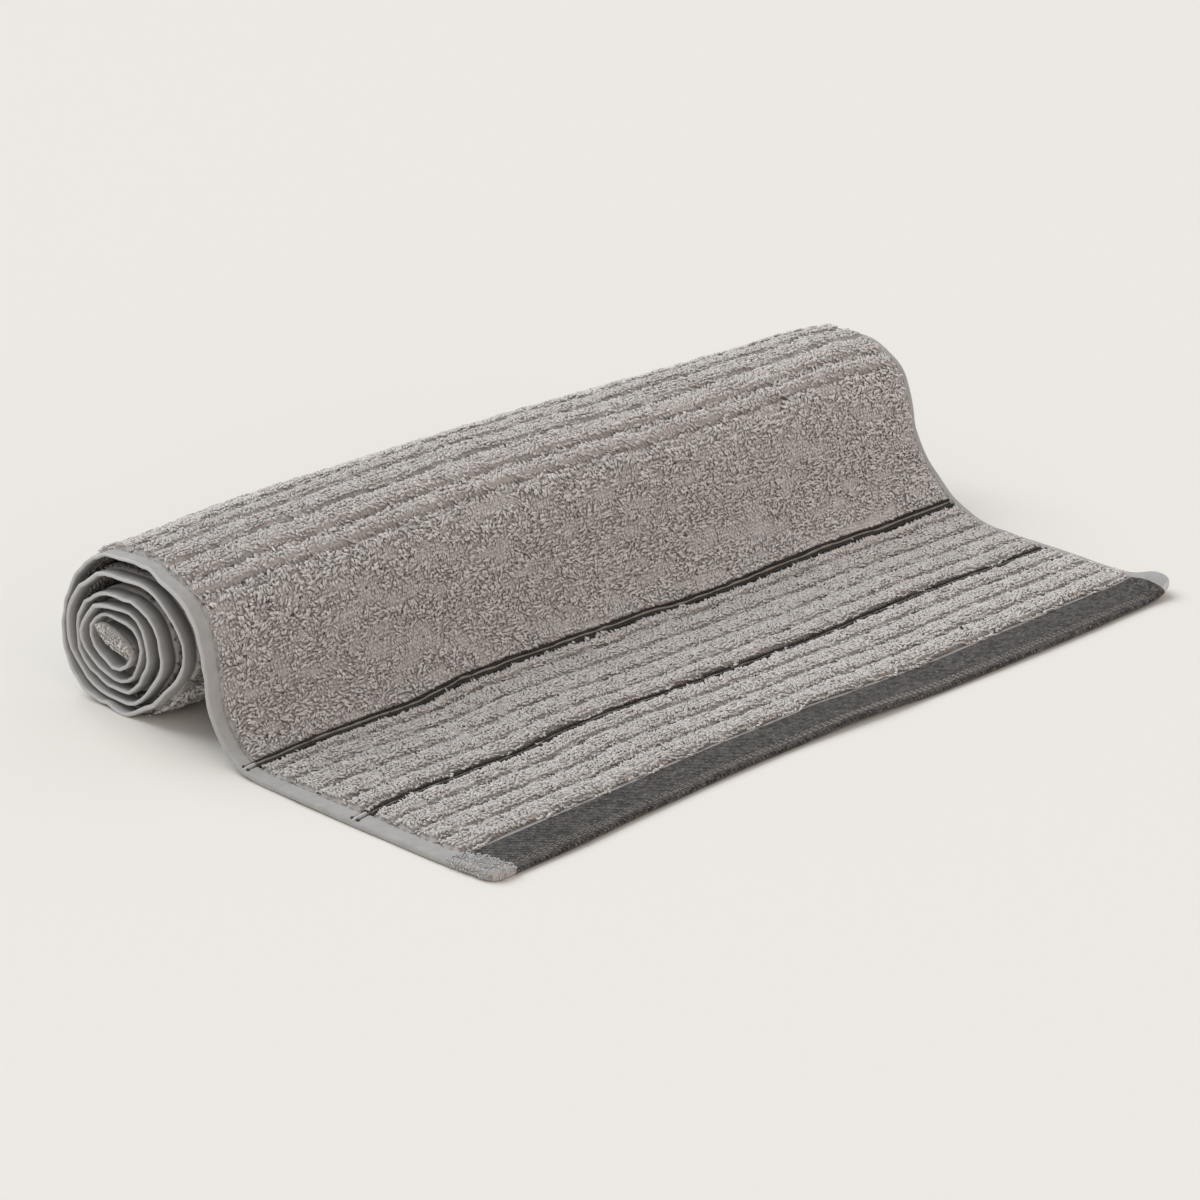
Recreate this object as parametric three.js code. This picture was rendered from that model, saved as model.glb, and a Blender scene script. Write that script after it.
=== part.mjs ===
// A ribbed terry face towel, rolled up from its far end, with its near end lying flat in front of it.
// It is one piece of cloth with its hems turned in, so it is one solid: a wound section, carried across.
// X runs along the roll, +Y points to the back and +Z up. Sizes are in millimetres and angles in degrees.
// The origin is on the surface that the towel rests on, in the middle of the ground that it covers.
import * as THREE from 'three';

// The cloth
const towelWidth = 415; // at its widest, between the outer edges of the two side hems
const underThickness = 1.4; // from the middle of the cloth to its underside
const hemThickness = 1.3; // from the middle of the cloth to the upper face of a hem
const innerThickness = 1.3; // the same for the turns that are wound tight inside the roll
const bandThickness = 1.1; // the same for the woven band along the end
const stripeThickness = 1.0; // the same for the flat stripes between the ribs
const pileThickness = 2.2; // the same for the plain terry
const grooveThickness = 1.3; // the same for the bottom of a groove between two ribs
const ribThickness = 2.5; // the same for the crest of a rib
const foldThickness = 0.7; // the same at the rounded outer edge of the band
const sideHemWidth = { left: 8.6, right: 4.6 }; // the right hem is rolled over further
const pileEdge = 1.6; // the terry rises from the side hem to its full height over this width
const bandDepth = 20.5; // of the woven band, from the edge of the towel

// Where the grooves between the ribs run, measured along the cloth from the edge that lies in front
const nearGrooves = [21, 34, 45.6, 57.8, 68.8];
const middleGrooves = [73.6, 84.1, 97, 110.2, 121.8, 128.4];
const plainTerry = { start: 133.8, end: 199.5, step: 8.5 };
const upperGrooves = [203, 211.7, 223.3, 236];
const rollRibs = { pitch: 12.2, count: 13 }; // past the last of these
const ribWander = 0.5; // how far the grooves stray to either side of a straight line
const weaveSkew = { depth: 2.4, from: 85, full: 130 }; // the weave is out of square: ahead at the right end

// How many steps the section takes through the turns inside the roll, and through the fold in their middle
const innerSteps = { turns: 76, core: 15 };
const lessening = 0.35; // by how much of their mean the steps get shorter on the way in

// The turns of the roll, from the outside in. Each row gives a turn's distance from the roll's centre at
// its front, top, back and bottom, in a frame that leans back by lean, and its dent: how far the cloth is
// pushed in just before it comes round to that front. The outer turn's front is the hanging cloth.
const turns = [
  { front: 0, top: 42.4, back: 35.2, bottom: 34.7, lean: 8, dent: 0 },
  { front: 38.8, top: 35.0, back: 31.4, bottom: 29.8, lean: 8, dent: 3.6 },
  { front: 27.6, top: 25.0, back: 27.6, bottom: 24.6, lean: 8, dent: 2.4 },
  { front: 19.2, top: 18.4, back: 23.4, bottom: 19.2, lean: 8, dent: 1.5 },
  { front: 12.8, top: 12.6, back: 17.35, bottom: 12.6, lean: 8, dent: 0.5 },
];
// The middle of the roll is the far end of the cloth folded double, and it leans the other way
const core = { front: 8.4, back: 10.2, lean: -17, bend: 2.9, hairpin: 1.9, end: 6.2 };
// How square each quarter of a turn is: 2 is round
const squareness = { topFront: 2.5, topBack: 1.9, bottomBack: 2.15, bottomFront: 1.8 };

// How the section changes from the left end of the roll to the right end
const centreBack = { left: 216, right: 205 }; // from the front of the cloth to the roll's centre
const drapeFront = { left: 56.6, right: 44.5 }; // from the roll's centre to the cloth that hangs before it
const touchDown = { left: 122, right: 106 }; // where the hanging cloth meets the surface
const upperPull = { left: 27, right: 14 }; // how straight the hanging cloth leaves the roll
const lowerPull = { left: 24, right: 28 }; // how gently it meets the surface
const leftFlare = { reach: 26, wider: 0.07, lower: 0.15, rounder: 0.3 }; // the roll's left end is flatter
const rightFlare = { reach: 14, lower: 0.03 };
const rollHeight = 0.975; // of the heights in the table of turns
const flatSpot = 0.7; // how much the roll has settled on the surface
const frontBow = { depth: 4.7, reach: 45, wave: 1.2, waveLength: 200, waveStart: 164 }; // of the front edge

// Where the two side edges run, by the distance along the cloth
const leftEdge = [
  { along: 0, x: -201 }, { along: 30, x: -204.4 }, { along: 100, x: -208.3 },
  { along: 140, x: -208.3 }, { along: 190, x: -205 },
];
const rightEdge = [
  { along: 0, x: 198 }, { along: 30, x: 203 }, { along: 100, x: 205.3 }, { along: 150, x: 207.2 },
];
const endStagger = { from: 230, depth: 1.1, length: 150 }; // the turns don't line up at the roll's left end

// The two front corners
const cornerNub = { width: 13, depth: 33, thickness: 2.3 }; // a terry corner left of the band
const cornerLip = { lift: 5.6, at: 8, reach: 13, width: 11 }; // the right corner curls up

// How finely the middle line of the cloth is worked out
const quarterSteps = 24;
const hangingSteps = 40;

// Places across the width, measured from the left edge
const middlePlaces = [26, 54, 98, 152, 210, 270, 330, 384];

const radians = THREE.MathUtils.degToRad;
const lerp = THREE.MathUtils.lerp;

function acrossPlaces() {
  const left = [0, sideHemWidth.left, sideHemWidth.left + pileEdge];
  const right = [sideHemWidth.right + pileEdge, sideHemWidth.right, 0].map((place) => towelWidth - place);
  return [...left, ...middlePlaces, ...right];
}

// The cloth's upper face: places along the cloth, with the height of the face over the middle of the cloth
function ribMarks(start, end) {
  const width = end - start;
  const shoulder = lerp(grooveThickness, ribThickness, 0.7);
  return [
    { along: start, height: grooveThickness },
    { along: start + 0.16 * width, height: shoulder },
    { along: start + 0.5 * width, height: ribThickness },
    { along: start + 0.84 * width, height: shoulder },
  ];
}

function grooveRun(grooves) {
  const marks = [];
  for (let i = 0; i + 1 < grooves.length; i += 1) {
    marks.push(...ribMarks(grooves[i], grooves[i + 1]));
  }
  return marks;
}

function stripeMarks(start, end) {
  return [start, (start + end) / 2].map((along) => ({ along, height: stripeThickness }));
}

function faceMarks() {
  const marks = [
    { along: 0, height: foldThickness },
    { along: 1.4, height: bandThickness },
    { along: bandDepth / 2, height: bandThickness },
    { along: bandDepth, height: bandThickness },
  ];
  marks.push(...grooveRun(nearGrooves));
  marks.push(...stripeMarks(nearGrooves.at(-1), middleGrooves[0]));
  marks.push(...grooveRun(middleGrooves));
  marks.push(...stripeMarks(middleGrooves.at(-1), plainTerry.start));
  marks.push({ along: plainTerry.start, height: stripeThickness });
  for (let along = plainTerry.start + 2; along < plainTerry.end; along += plainTerry.step) {
    marks.push({ along, height: pileThickness });
  }
  marks.push({ along: plainTerry.end, height: pileThickness });
  marks.push(...grooveRun(upperGrooves));
  for (let i = 0; i < rollRibs.count; i += 1) {
    const start = upperGrooves.at(-1) + i * rollRibs.pitch;
    marks.push(...ribMarks(start, start + rollRibs.pitch));
  }
  return marks;
}

// The shape of the section at one place across the width
function sectionShape(fromLeft) {
  const across = fromLeft / towelWidth;
  const side = (range) => lerp(range.left, range.right, across);
  const left = Math.exp(-fromLeft / leftFlare.reach);
  const right = Math.exp(-(towelWidth - fromLeft) / rightFlare.reach);
  const bow = 1 - Math.exp(-fromLeft / frontBow.reach);
  const wave = Math.cos((2 * Math.PI * (fromLeft - frontBow.waveStart)) / frontBow.waveLength);
  return {
    wide: 1 + leftFlare.wider * left,
    tall: rollHeight - leftFlare.lower * left - rightFlare.lower * right,
    topBack: squareness.topBack - leftFlare.rounder * left,
    centre: side(centreBack),
    drape: side(drapeFront),
    touch: side(touchDown),
    upperPull: side(upperPull),
    lowerPull: side(lowerPull),
    front: (frontBow.depth + frontBow.wave * wave) * bow,
  };
}

// A point of the roll, given as back and up from the centre in a leaning frame, in the upright frame
function leaned(back, up, lean) {
  const angle = radians(lean);
  return [
    back * Math.cos(angle) + up * Math.sin(angle),
    up * Math.cos(angle) - back * Math.sin(angle),
  ];
}

// The four quarters of one turn, from its front over the top and down the back to the next turn's front
function addTurn(points, index, shape, steps) {
  const turn = turns[index];
  const next = turns[index + 1] ?? core;
  const front = index === 0 ? shape.drape : turn.front * shape.wide;
  const back = turn.back * shape.wide;
  const top = turn.top * shape.tall;
  const bottom = turn.bottom * shape.tall;
  const quarters = [
    { back: -front, up: top, power: squareness.topFront, rising: true, dent: 0 },
    { back, up: top, power: shape.topBack, rising: false, dent: 0 },
    { back, up: -bottom, power: squareness.bottomBack, rising: true, dent: 0 },
    { back: -next.front * shape.wide, up: -bottom, power: squareness.bottomFront, rising: false,
      dent: next.dent ?? 0 },
  ];
  quarters.forEach((quarter, place) => {
    for (let step = 1; step <= steps; step += 1) {
      const part = step / steps;
      const angle = (Math.PI / 2) * (quarter.rising ? part : 1 - part);
      const level = Math.max(Math.cos(angle), 0) ** (2 / quarter.power);
      const raised = Math.sin(angle) ** (2 / quarter.power);
      const lean = lerp(turn.lean, next.lean, (place + part) / 4);
      const reach = Math.hypot(quarter.back * level, quarter.up * raised);
      const pushed = 1 - (quarter.dent * Math.sin(Math.PI * part) ** 2) / reach;
      points.push(leaned(quarter.back * level * pushed, quarter.up * raised * pushed, lean));
    }
  });
}

// The far end of the cloth, folded double in the middle of the roll
function addCore(points, shape, steps) {
  const front = -core.front * shape.wide;
  const fold = core.back * shape.wide - core.hairpin;
  const lower = core.bend - 2 * core.hairpin;
  const add = (back, up) => points.push(leaned(back, up, core.lean));
  for (let step = 1; step <= steps; step += 1) {
    const angle = (Math.PI / 2) * (step / steps);
    add(front + core.bend * (1 - Math.cos(angle)), core.bend * Math.sin(angle));
  }
  for (let step = 0; step <= 2 * steps; step += 1) {
    const angle = Math.PI * (0.5 - step / (2 * steps));
    add(fold + core.hairpin * Math.cos(angle), core.bend - core.hairpin * (1 - Math.sin(angle)));
  }
  add(-core.end * shape.wide, lower);
}

// The middle line of the cloth, from the front edge to its end inside the roll, and where its core starts
function middleLine(fromLeft) {
  const shape = sectionShape(fromLeft);
  const roll = [leaned(-shape.drape, 0, turns[0].lean)];
  turns.forEach((turn, index) => addTurn(roll, index, shape, quarterSteps));
  const coreStart = roll.length - 1;
  addCore(roll, shape, 8);
  const lowest = Math.min(...roll.map((point) => point[1]));
  const centreHeight = underThickness - lowest - flatSpot;
  const outerTurn = 4 * quarterSteps;
  const placed = roll.map(([y, z], index) => {
    const lowestHere = index <= outerTurn ? underThickness : 0;
    return new THREE.Vector2(y + shape.centre, Math.max(z + centreHeight, lowestHere));
  });
  const top = placed[0];
  const down = leaned(0, -shape.upperPull, turns[0].lean);
  const hanging = new THREE.CubicBezierCurve(
    new THREE.Vector2(shape.touch, underThickness),
    new THREE.Vector2(shape.touch + shape.lowerPull, underThickness),
    new THREE.Vector2(top.x + down[0], top.y + down[1]),
    top,
  );
  const front = new THREE.Vector2(shape.front, underThickness);
  const line = [front, ...hanging.getPoints(hangingSteps), ...placed.slice(1)];
  return { line, coreStart: coreStart + hangingSteps + 1 };
}

// Walks along a line of points: the place and the upward normal at a distance from its start
function lineWalker(points) {
  const reached = [0];
  for (let i = 1; i < points.length; i += 1) {
    reached.push(reached[i - 1] + points[i].distanceTo(points[i - 1]));
  }
  const length = reached.at(-1);
  const at = (along) => {
    const wanted = THREE.MathUtils.clamp(along, 0, length);
    let i = 1;
    while (i < points.length - 1 && reached[i] < wanted) i += 1;
    const part = (wanted - reached[i - 1]) / (reached[i] - reached[i - 1]);
    return points[i - 1].clone().lerp(points[i], part);
  };
  const normal = (along) => {
    const run = at(along + 0.8).sub(at(along - 0.8)).normalize();
    return new THREE.Vector2(-run.y, run.x);
  };
  return { reached, length, at, normal };
}

function tableValue(table, along) {
  const after = table.findIndex((row) => row.along > along);
  if (after === 0) return table[0].x;
  if (after < 0) return table.at(-1).x;
  const low = table[after - 1];
  const high = table[after];
  return THREE.MathUtils.mapLinear(along, low.along, high.along, low.x, high.x);
}

// How far along the cloth a groove has strayed at this place, by chance and by the skew of the weave
function wander(fromLeft, along) {
  const zone = THREE.MathUtils.smoothstep(along, bandDepth, 40);
  const across = fromLeft / towelWidth;
  const slow = Math.sin(2 * Math.PI * (1.6 * across + along / 85));
  const quick = Math.sin(2 * Math.PI * (3.7 * across - along / 55));
  const skew = THREE.MathUtils.smoothstep(along, weaveSkew.from, weaveSkew.full) * (1 - 2 * across);
  return zone * ribWander * (0.65 * slow + 0.35 * quick) + weaveSkew.depth * skew;
}

// How high the upper face stands at a mark: the side hems are flat, and the left corner is terry
function faceHeight(mark, fromLeft) {
  const onHem = fromLeft <= sideHemWidth.left || fromLeft >= towelWidth - sideHemWidth.right;
  const onNub = fromLeft < cornerNub.width && mark.along > 0 && mark.along < cornerNub.depth;
  if (onNub) return cornerNub.thickness;
  return onHem ? Math.min(mark.height, hemThickness) : mark.height;
}

// How far along the cloth each point of the section lies, and how high the upper face stands there
function sectionStops(marks, fromLeft, coreAlong, length) {
  const stops = marks.map((mark) => {
    const along = mark.along + wander(fromLeft, mark.along);
    return { along, height: faceHeight(mark, fromLeft) };
  });
  const start = stops.at(-1).along;
  for (let i = 1; i <= innerSteps.turns; i += 1) {
    const part = i / innerSteps.turns;
    const eased = part + lessening * part * (1 - part);
    stops.push({ along: lerp(start, coreAlong, eased), height: innerThickness });
  }
  for (let i = 1; i <= innerSteps.core; i += 1) {
    stops.push({ along: lerp(coreAlong, length, i / innerSteps.core), height: innerThickness });
  }
  return stops;
}

// One station across the width: the points of the cloth's two faces, from the front edge inwards
function station(fromLeft, marks) {
  const { line, coreStart } = middleLine(fromLeft);
  const walker = lineWalker(line);
  const across = fromLeft / towelWidth;
  const upper = [];
  const under = [];
  sectionStops(marks, fromLeft, walker.reached[coreStart], walker.length).forEach(({ along, height }) => {
    const place = walker.at(along);
    const normal = walker.normal(along);
    const turned = Math.max(along - endStagger.from, 0) / endStagger.length;
    const stagger = endStagger.depth * Math.sin(2 * Math.PI * turned);
    const x = lerp(tableValue(leftEdge, along) + stagger, tableValue(rightEdge, along), across);
    const curled = THREE.MathUtils.smoothstep(fromLeft, towelWidth - cornerLip.width, towelWidth);
    const lip = cornerLip.lift * curled * Math.exp(-(((along - cornerLip.at) / cornerLip.reach) ** 2));
    const top = place.clone().addScaledVector(normal, height);
    const bottom = place.clone().addScaledVector(normal, -underThickness);
    upper.push([x, top.x, Math.max(top.y, 0) + lip]);
    under.push([x, bottom.x, Math.max(bottom.y, 0) + lip]);
  });
  return { upper, under };
}

// Joins the stations into one closed skin: the two faces, the two side edges, and the two ends of the cloth
function towelGeometry() {
  const marks = faceMarks();
  const stations = acrossPlaces().map((fromLeft) => station(fromLeft, marks));
  const count = stations[0].upper.length;
  const underStart = stations.length * count;
  const upper = (i, j) => i * count + j;
  const under = (i, j) => underStart + i * count + j;
  const faces = [];
  const quad = (a, b, c, d) => faces.push(a, b, c, a, c, d);
  for (let i = 0; i + 1 < stations.length; i += 1) {
    for (let j = 0; j + 1 < count; j += 1) {
      quad(upper(i, j), upper(i + 1, j), upper(i + 1, j + 1), upper(i, j + 1));
      quad(under(i, j), under(i, j + 1), under(i + 1, j + 1), under(i + 1, j));
    }
    quad(under(i, 0), under(i + 1, 0), upper(i + 1, 0), upper(i, 0));
    quad(under(i, count - 1), upper(i, count - 1), upper(i + 1, count - 1), under(i + 1, count - 1));
  }
  const last = stations.length - 1;
  for (let j = 0; j + 1 < count; j += 1) {
    quad(under(0, j), upper(0, j), upper(0, j + 1), under(0, j + 1));
    quad(under(last, j), under(last, j + 1), upper(last, j + 1), upper(last, j));
  }
  const points = [...stations.flatMap((row) => row.upper), ...stations.flatMap((row) => row.under)];
  const geometry = new THREE.BufferGeometry();
  geometry.setAttribute('position', new THREE.Float32BufferAttribute(points.flat(), 3));
  geometry.setIndex(faces);
  geometry.computeBoundingBox();
  const { min, max } = geometry.boundingBox;
  geometry.translate(-(min.x + max.x) / 2, -(min.y + max.y) / 2, 0);
  geometry.computeVertexNormals();
  return geometry;
}

const terry = new THREE.MeshStandardMaterial({ color: 0xb0aeab, roughness: 0.95, metalness: 0 });

const towel = new THREE.Mesh(towelGeometry(), terry);
towel.name = 'towel';

const object = new THREE.Group();
object.add(towel);

export default object;
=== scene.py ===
import math

import bpy
import numpy as np
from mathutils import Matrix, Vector


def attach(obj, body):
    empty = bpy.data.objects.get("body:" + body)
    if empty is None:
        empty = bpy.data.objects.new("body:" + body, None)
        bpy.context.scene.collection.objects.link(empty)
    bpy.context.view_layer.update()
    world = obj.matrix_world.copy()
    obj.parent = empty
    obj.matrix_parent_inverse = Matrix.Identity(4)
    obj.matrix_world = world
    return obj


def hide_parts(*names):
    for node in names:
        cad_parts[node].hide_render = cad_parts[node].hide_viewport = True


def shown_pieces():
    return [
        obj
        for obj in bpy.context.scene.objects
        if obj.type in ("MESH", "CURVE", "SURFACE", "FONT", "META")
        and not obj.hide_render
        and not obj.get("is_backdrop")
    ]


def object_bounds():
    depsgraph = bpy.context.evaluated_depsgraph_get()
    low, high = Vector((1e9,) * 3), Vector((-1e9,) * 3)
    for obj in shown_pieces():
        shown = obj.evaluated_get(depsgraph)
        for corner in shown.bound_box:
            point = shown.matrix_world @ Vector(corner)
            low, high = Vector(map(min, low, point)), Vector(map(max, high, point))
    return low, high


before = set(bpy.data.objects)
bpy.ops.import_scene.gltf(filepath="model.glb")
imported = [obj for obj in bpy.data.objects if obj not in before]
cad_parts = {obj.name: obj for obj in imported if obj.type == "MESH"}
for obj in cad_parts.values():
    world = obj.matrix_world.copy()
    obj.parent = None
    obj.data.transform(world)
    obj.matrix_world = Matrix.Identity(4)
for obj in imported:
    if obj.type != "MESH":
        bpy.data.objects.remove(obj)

cadLow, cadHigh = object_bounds()
metre = 0.001


# The studio: pale floor, soft light from above and behind, and the photograph's view

studio = {
    "cameraPlace": (-913.2, -796.2, 528.4),  # from the towel's middle, its front edge and the floor
    "cameraTurn": -43.84,
    "cameraPitch": -21.46,
    "lens": 100.35,
    "sensor": 36.0,
    "farthest": 50000.0,
    "floorSize": 14000.0,
    "floorRoughness": 0.9,
    "floorShine": 0.1,
    "floorColour": (239, 236, 231),
    "skyColour": (251, 253, 255),
    "skyStrength": 0.43,
    "suns": (  # turn: from straight behind the roll, towards its left end
        {"name": "softSun", "colour": (251, 254, 255), "strength": 1.85,
         "softness": 52, "height": 50, "turn": 8},
        {"name": "frontFill", "colour": (255, 229, 210), "strength": 1.0,
         "softness": 80, "height": 22, "turn": 165},
    ),
}


def tone(colour):  # screen values, 0 to 255, to the linear light that a shader takes
    made = []
    for value in colour:
        part = value / 255
        made.append(part / 12.92 if part <= 0.04045 else ((part + 0.055) / 1.055) ** 2.4)
    return (*made, 1.0)


def makeCamera():
    x, y, z = studio["cameraPlace"]
    data = bpy.data.cameras.new("camera")
    data.lens = studio["lens"]
    data.sensor_width = studio["sensor"]
    data.clip_end = studio["farthest"] * metre
    camera = bpy.data.objects.new("camera", data)
    camera.location = ((x + sideShift) * metre, (y + frontShift) * metre, z * metre)
    pitch = math.radians(90 + studio["cameraPitch"])
    camera.rotation_euler = (pitch, 0, math.radians(studio["cameraTurn"]))
    bpy.context.scene.collection.objects.link(camera)
    bpy.context.scene.camera = camera


def makeFloor():
    half = studio["floorSize"] / 2 * metre
    mesh = bpy.data.meshes.new("floor")
    corners = [(-half, -half, 0), (half, -half, 0), (half, half, 0), (-half, half, 0)]
    mesh.from_pydata(corners, [], [(0, 1, 2, 3)])
    floor = bpy.data.objects.new("floor", mesh)
    bpy.context.scene.collection.objects.link(floor)
    material = bpy.data.materials.new("paleFloor")
    material.use_nodes = True
    shader = material.node_tree.nodes["Principled BSDF"]
    shader.inputs["Base Color"].default_value = tone(studio["floorColour"])
    shader.inputs["Roughness"].default_value = studio["floorRoughness"]
    shader.inputs["Specular IOR Level"].default_value = studio["floorShine"]
    mesh.materials.append(material)
    floor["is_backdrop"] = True


def makeSun(sun):
    data = bpy.data.lights.new(sun["name"], "SUN")
    data.energy = sun["strength"]
    data.angle = math.radians(sun["softness"])
    data.color = tone(sun["colour"])[:3]
    light = bpy.data.objects.new(sun["name"], data)
    turn = math.radians(sun["turn"])
    rise = math.radians(sun["height"])
    towards = Vector((-math.sin(turn) * math.cos(rise), math.cos(turn) * math.cos(rise), math.sin(rise)))
    light.rotation_euler = towards.to_track_quat("Z", "Y").to_euler()
    bpy.context.scene.collection.objects.link(light)


def makeLight():
    world = bpy.data.worlds.new("studio")
    world.use_nodes = True
    sky = world.node_tree.nodes["Background"]
    sky.inputs["Color"].default_value = tone(studio["skyColour"])
    sky.inputs["Strength"].default_value = studio["skyStrength"]
    bpy.context.scene.world = world
    for sun in studio["suns"]:
        makeSun(sun)
    bpy.context.scene.view_settings.view_transform = "Standard"


# The cloth as it is cut and woven: its heights stand over the middle of its thickness

weave = {
    "width": 415.0,
    "length": 1000.0,
    "under": 1.4,
    "leftHem": 8.6,
    "rightHem": 4.6,
    "hemFace": 1.3,
    "innerFace": 1.2,
    "band": 20.5,
    "selvage": 21.9,  # behind the band, a narrow light edge
    "bandFace": 1.1,
    "bandBump": {"across": 205.0, "depth": 1.5, "reach": 9.0, "along": 8.0},
    "nub": {"across": 12.0, "along": 23.0, "face": 2.5, "power": 2.4},  # the terry corner, left of the band
    "stripeFace": 1.0,
    "plainFace": 1.6,  # of the ground that the loops stand in
    "grooveFace": 0.8,
    "ribFace": 2.4,
    "ribFoot": 0.6,  # from a groove to where the rib starts to rise, and to where it is full
    "ribCrown": 3.2,
    "ribRound": 0.16,  # how much lower than its middle a rib is at its sides
    "nearGrooves": (21.9, 34.0, 45.6, 57.8, 68.8),
    "middleGrooves": (73.6, 84.1, 97.0, 110.2, 121.8, 128.4),
    "plainStart": 133.8,
    "rollGrooves": (203.0, 211.7, 223.3, 236.0),
    "rollPitch": 12.2,
    "evenRibs": 13,
    "wander": 0.5,  # how far its lines run out of true, from the front edge to the far end
    "wanderFade": (880.0, 985.0),
    "wanderWaves": (  # share, waves across the cloth, and length along it
        (0.65, 1.6, 85.0),
        (0.35, 3.7, -55.0),
    ),
    "wanderNoise": {"share": 0.6, "across": 13.0, "along": 40.0},
    "loose": {"depth": 1.1, "across": 24.0, "along": 16.0},  # the ribs of the roll run less straight
    "pulled": (  # where the lying cloth's lines are pulled forward or back, from the left edge to the right
        (0, 40, 65, 90, 115, 140, 165, 190, 215, 240, 265, 290, 315, 340, 365, 390, 415),
        (0, 0.3, 0, -1.2, 1.8, 0.4, -1.0, -1.0, 0, -0.2, 0.3, 0.8, 0.8, 0.2, -1.0, -0.8, 0),
    ),
    "skew": {"depth": 2.4, "from": 85.0, "full": 130.0},  # the weave is ahead at the right end
    "rollStart": 400.0,  # past here each section is stretched a little to end at the same fold
}
lastGroove = weave["rollGrooves"][-1]
evenGrooves = tuple(lastGroove + (i + 1) * weave["rollPitch"] for i in range(weave["evenRibs"]))
rollGrooves = weave["rollGrooves"] + evenGrooves
ribEdges = (weave["nearGrooves"], weave["middleGrooves"], rollGrooves)
stripeZones = (
    (weave["nearGrooves"][-1], weave["middleGrooves"][0]),
    (weave["middleGrooves"][-1], weave["plainStart"]),
)

# The shape in which it lies, as in the frame
lie = {
    "turns": (
        {"front": 0.0, "top": 42.4, "back": 35.2, "bottom": 34.7, "lean": 8.0, "dent": 0.0},
        {"front": 38.8, "top": 33.8, "back": 31.4, "bottom": 29.8, "lean": 8.0, "dent": 3.6},
        {"front": 27.6, "top": 25.0, "back": 27.6, "bottom": 24.6, "lean": 8.0, "dent": 2.4},
        {"front": 19.2, "top": 18.4, "back": 23.4, "bottom": 19.2, "lean": 8.0, "dent": 1.5},
        {"front": 12.8, "top": 12.6, "back": 17.35, "bottom": 12.6, "lean": 8.0, "dent": 0.5},
    ),
    "core": {"front": 8.4, "back": 10.2, "lean": -17.0, "bend": 2.9, "hairpin": 1.9, "end": 6.2},
    "squareness": (2.5, 1.9, 2.15, 1.8),  # top front, top back, bottom back, bottom front
    "centre": (216.0, 205.0),  # left end and right end, as in the next four
    "drape": (56.6, 44.5),
    "touch": (122.0, 106.0),
    "upperPull": (27.0, 14.0),
    "lowerPull": (24.0, 28.0),
    "leftFlare": {"reach": 26.0, "wider": 0.07, "rounder": 0.12},
    "rollTall": (  # the roll is pressed down most near its left end
        (0, 12, 22, 35, 60, 100, 150, 200, 250, 350, 385, 415),
        (0.837, 0.842, 0.845, 0.858, 0.889, 0.916, 0.93, 0.948, 0.954, 0.951, 0.966, 0.951),
    ),
    "flatSpot": 0.7,
    "bow": {"depth": 4.7, "reach": 45.0, "wave": 1.2, "waveLength": 200.0, "waveStart": 164.0},
    "leftEdge": ((0, 30, 100, 140, 190), (-201.0, -204.4, -208.3, -208.3, -205.0)),
    "rightEdge": ((0, 30, 100, 150), (201.5, 203.3, 205.3, 207.2)),
    "stagger": {"from": 230.0, "depth": 1.1, "length": 150.0},
    "lip": {"lift": 5.6, "at": 8.0, "reach": 13.0, "width": 16.0, "wide": 45.0, "gentle": 0.2},
    "frontEdge": (  # the front edge lies a little ahead of the section or behind it, from left to right
        (0, 25, 45, 75, 120, 200, 280, 330, 355, 390, 415),
        (-0.6, -1.6, -1.8, 0.2, 1.0, 0.6, -0.6, -2.4, -2.8, -1.4, 0),
    ),
    "frontReach": 16.0,
    "frontRise": {"across": 212.0, "width": 24.0, "lift": 1.3},  # where the edge stands clear of the floor
    "offFloor": 0.05,
    "puckers": {"depth": 0.55, "across": 21.0, "along": 26.0},  # soft unevenness of the lying cloth
    "hemWaver": {"depth": 0.7, "length": 11.0},  # the edges of the wound cloth wander in and out
    "hemKink": {"depth": 0.9, "length": 13.0, "reach": 13.0},  # how crumpled the roll's left end is
    "hemSqueeze": {"depth": 1.8, "from": 60.0, "full": 125.0, "reach": 40.0},  # the left hem on the roll
    "hemWiden": {"depth": 2.6, "reach": 30.0, "along": 24.0},  # the right hem at the front corner
    "corners": {"left": 6.5, "right": 6.0},  # radius of the two front corners
    "quarterSteps": 48,
    "mapStep": 0.5,
}
frontShift = cadLow.y * 1000  # the frame's y where the cloth's front edge begins
sideShift = cadLow.x * 1000 - min(lie["leftEdge"][1])

makeCamera()
makeFloor()
makeLight()
print("studio: camera, floor and light are in place")

noiseTable = np.random.default_rng(7).random((256, 256))


def softNoise(u, v):  # smooth noise from -1 to 1, a wave or so for each unit
    i = np.floor(u).astype(int)
    j = np.floor(v).astype(int)
    fu = u - i
    fv = v - j
    fu = fu * fu * (3 - 2 * fu)
    fv = fv * fv * (3 - 2 * fv)
    i0, i1, j0, j1 = i % 256, (i + 1) % 256, j % 256, (j + 1) % 256
    low = noiseTable[i0, j0] * (1 - fu) + noiseTable[i1, j0] * fu
    high = noiseTable[i0, j1] * (1 - fu) + noiseTable[i1, j1] * fu
    return 2 * (low * (1 - fv) + high * fv) - 1


def smoothStep(value, low, high):
    part = np.clip((value - low) / (high - low), 0, 1)
    return part * part * (3 - 2 * part)


def leaned(back, up, lean):
    angle = np.radians(lean)
    level = back * np.cos(angle) + up * np.sin(angle)
    return np.stack([level, up * np.cos(angle) - back * np.sin(angle)], -1)


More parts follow.
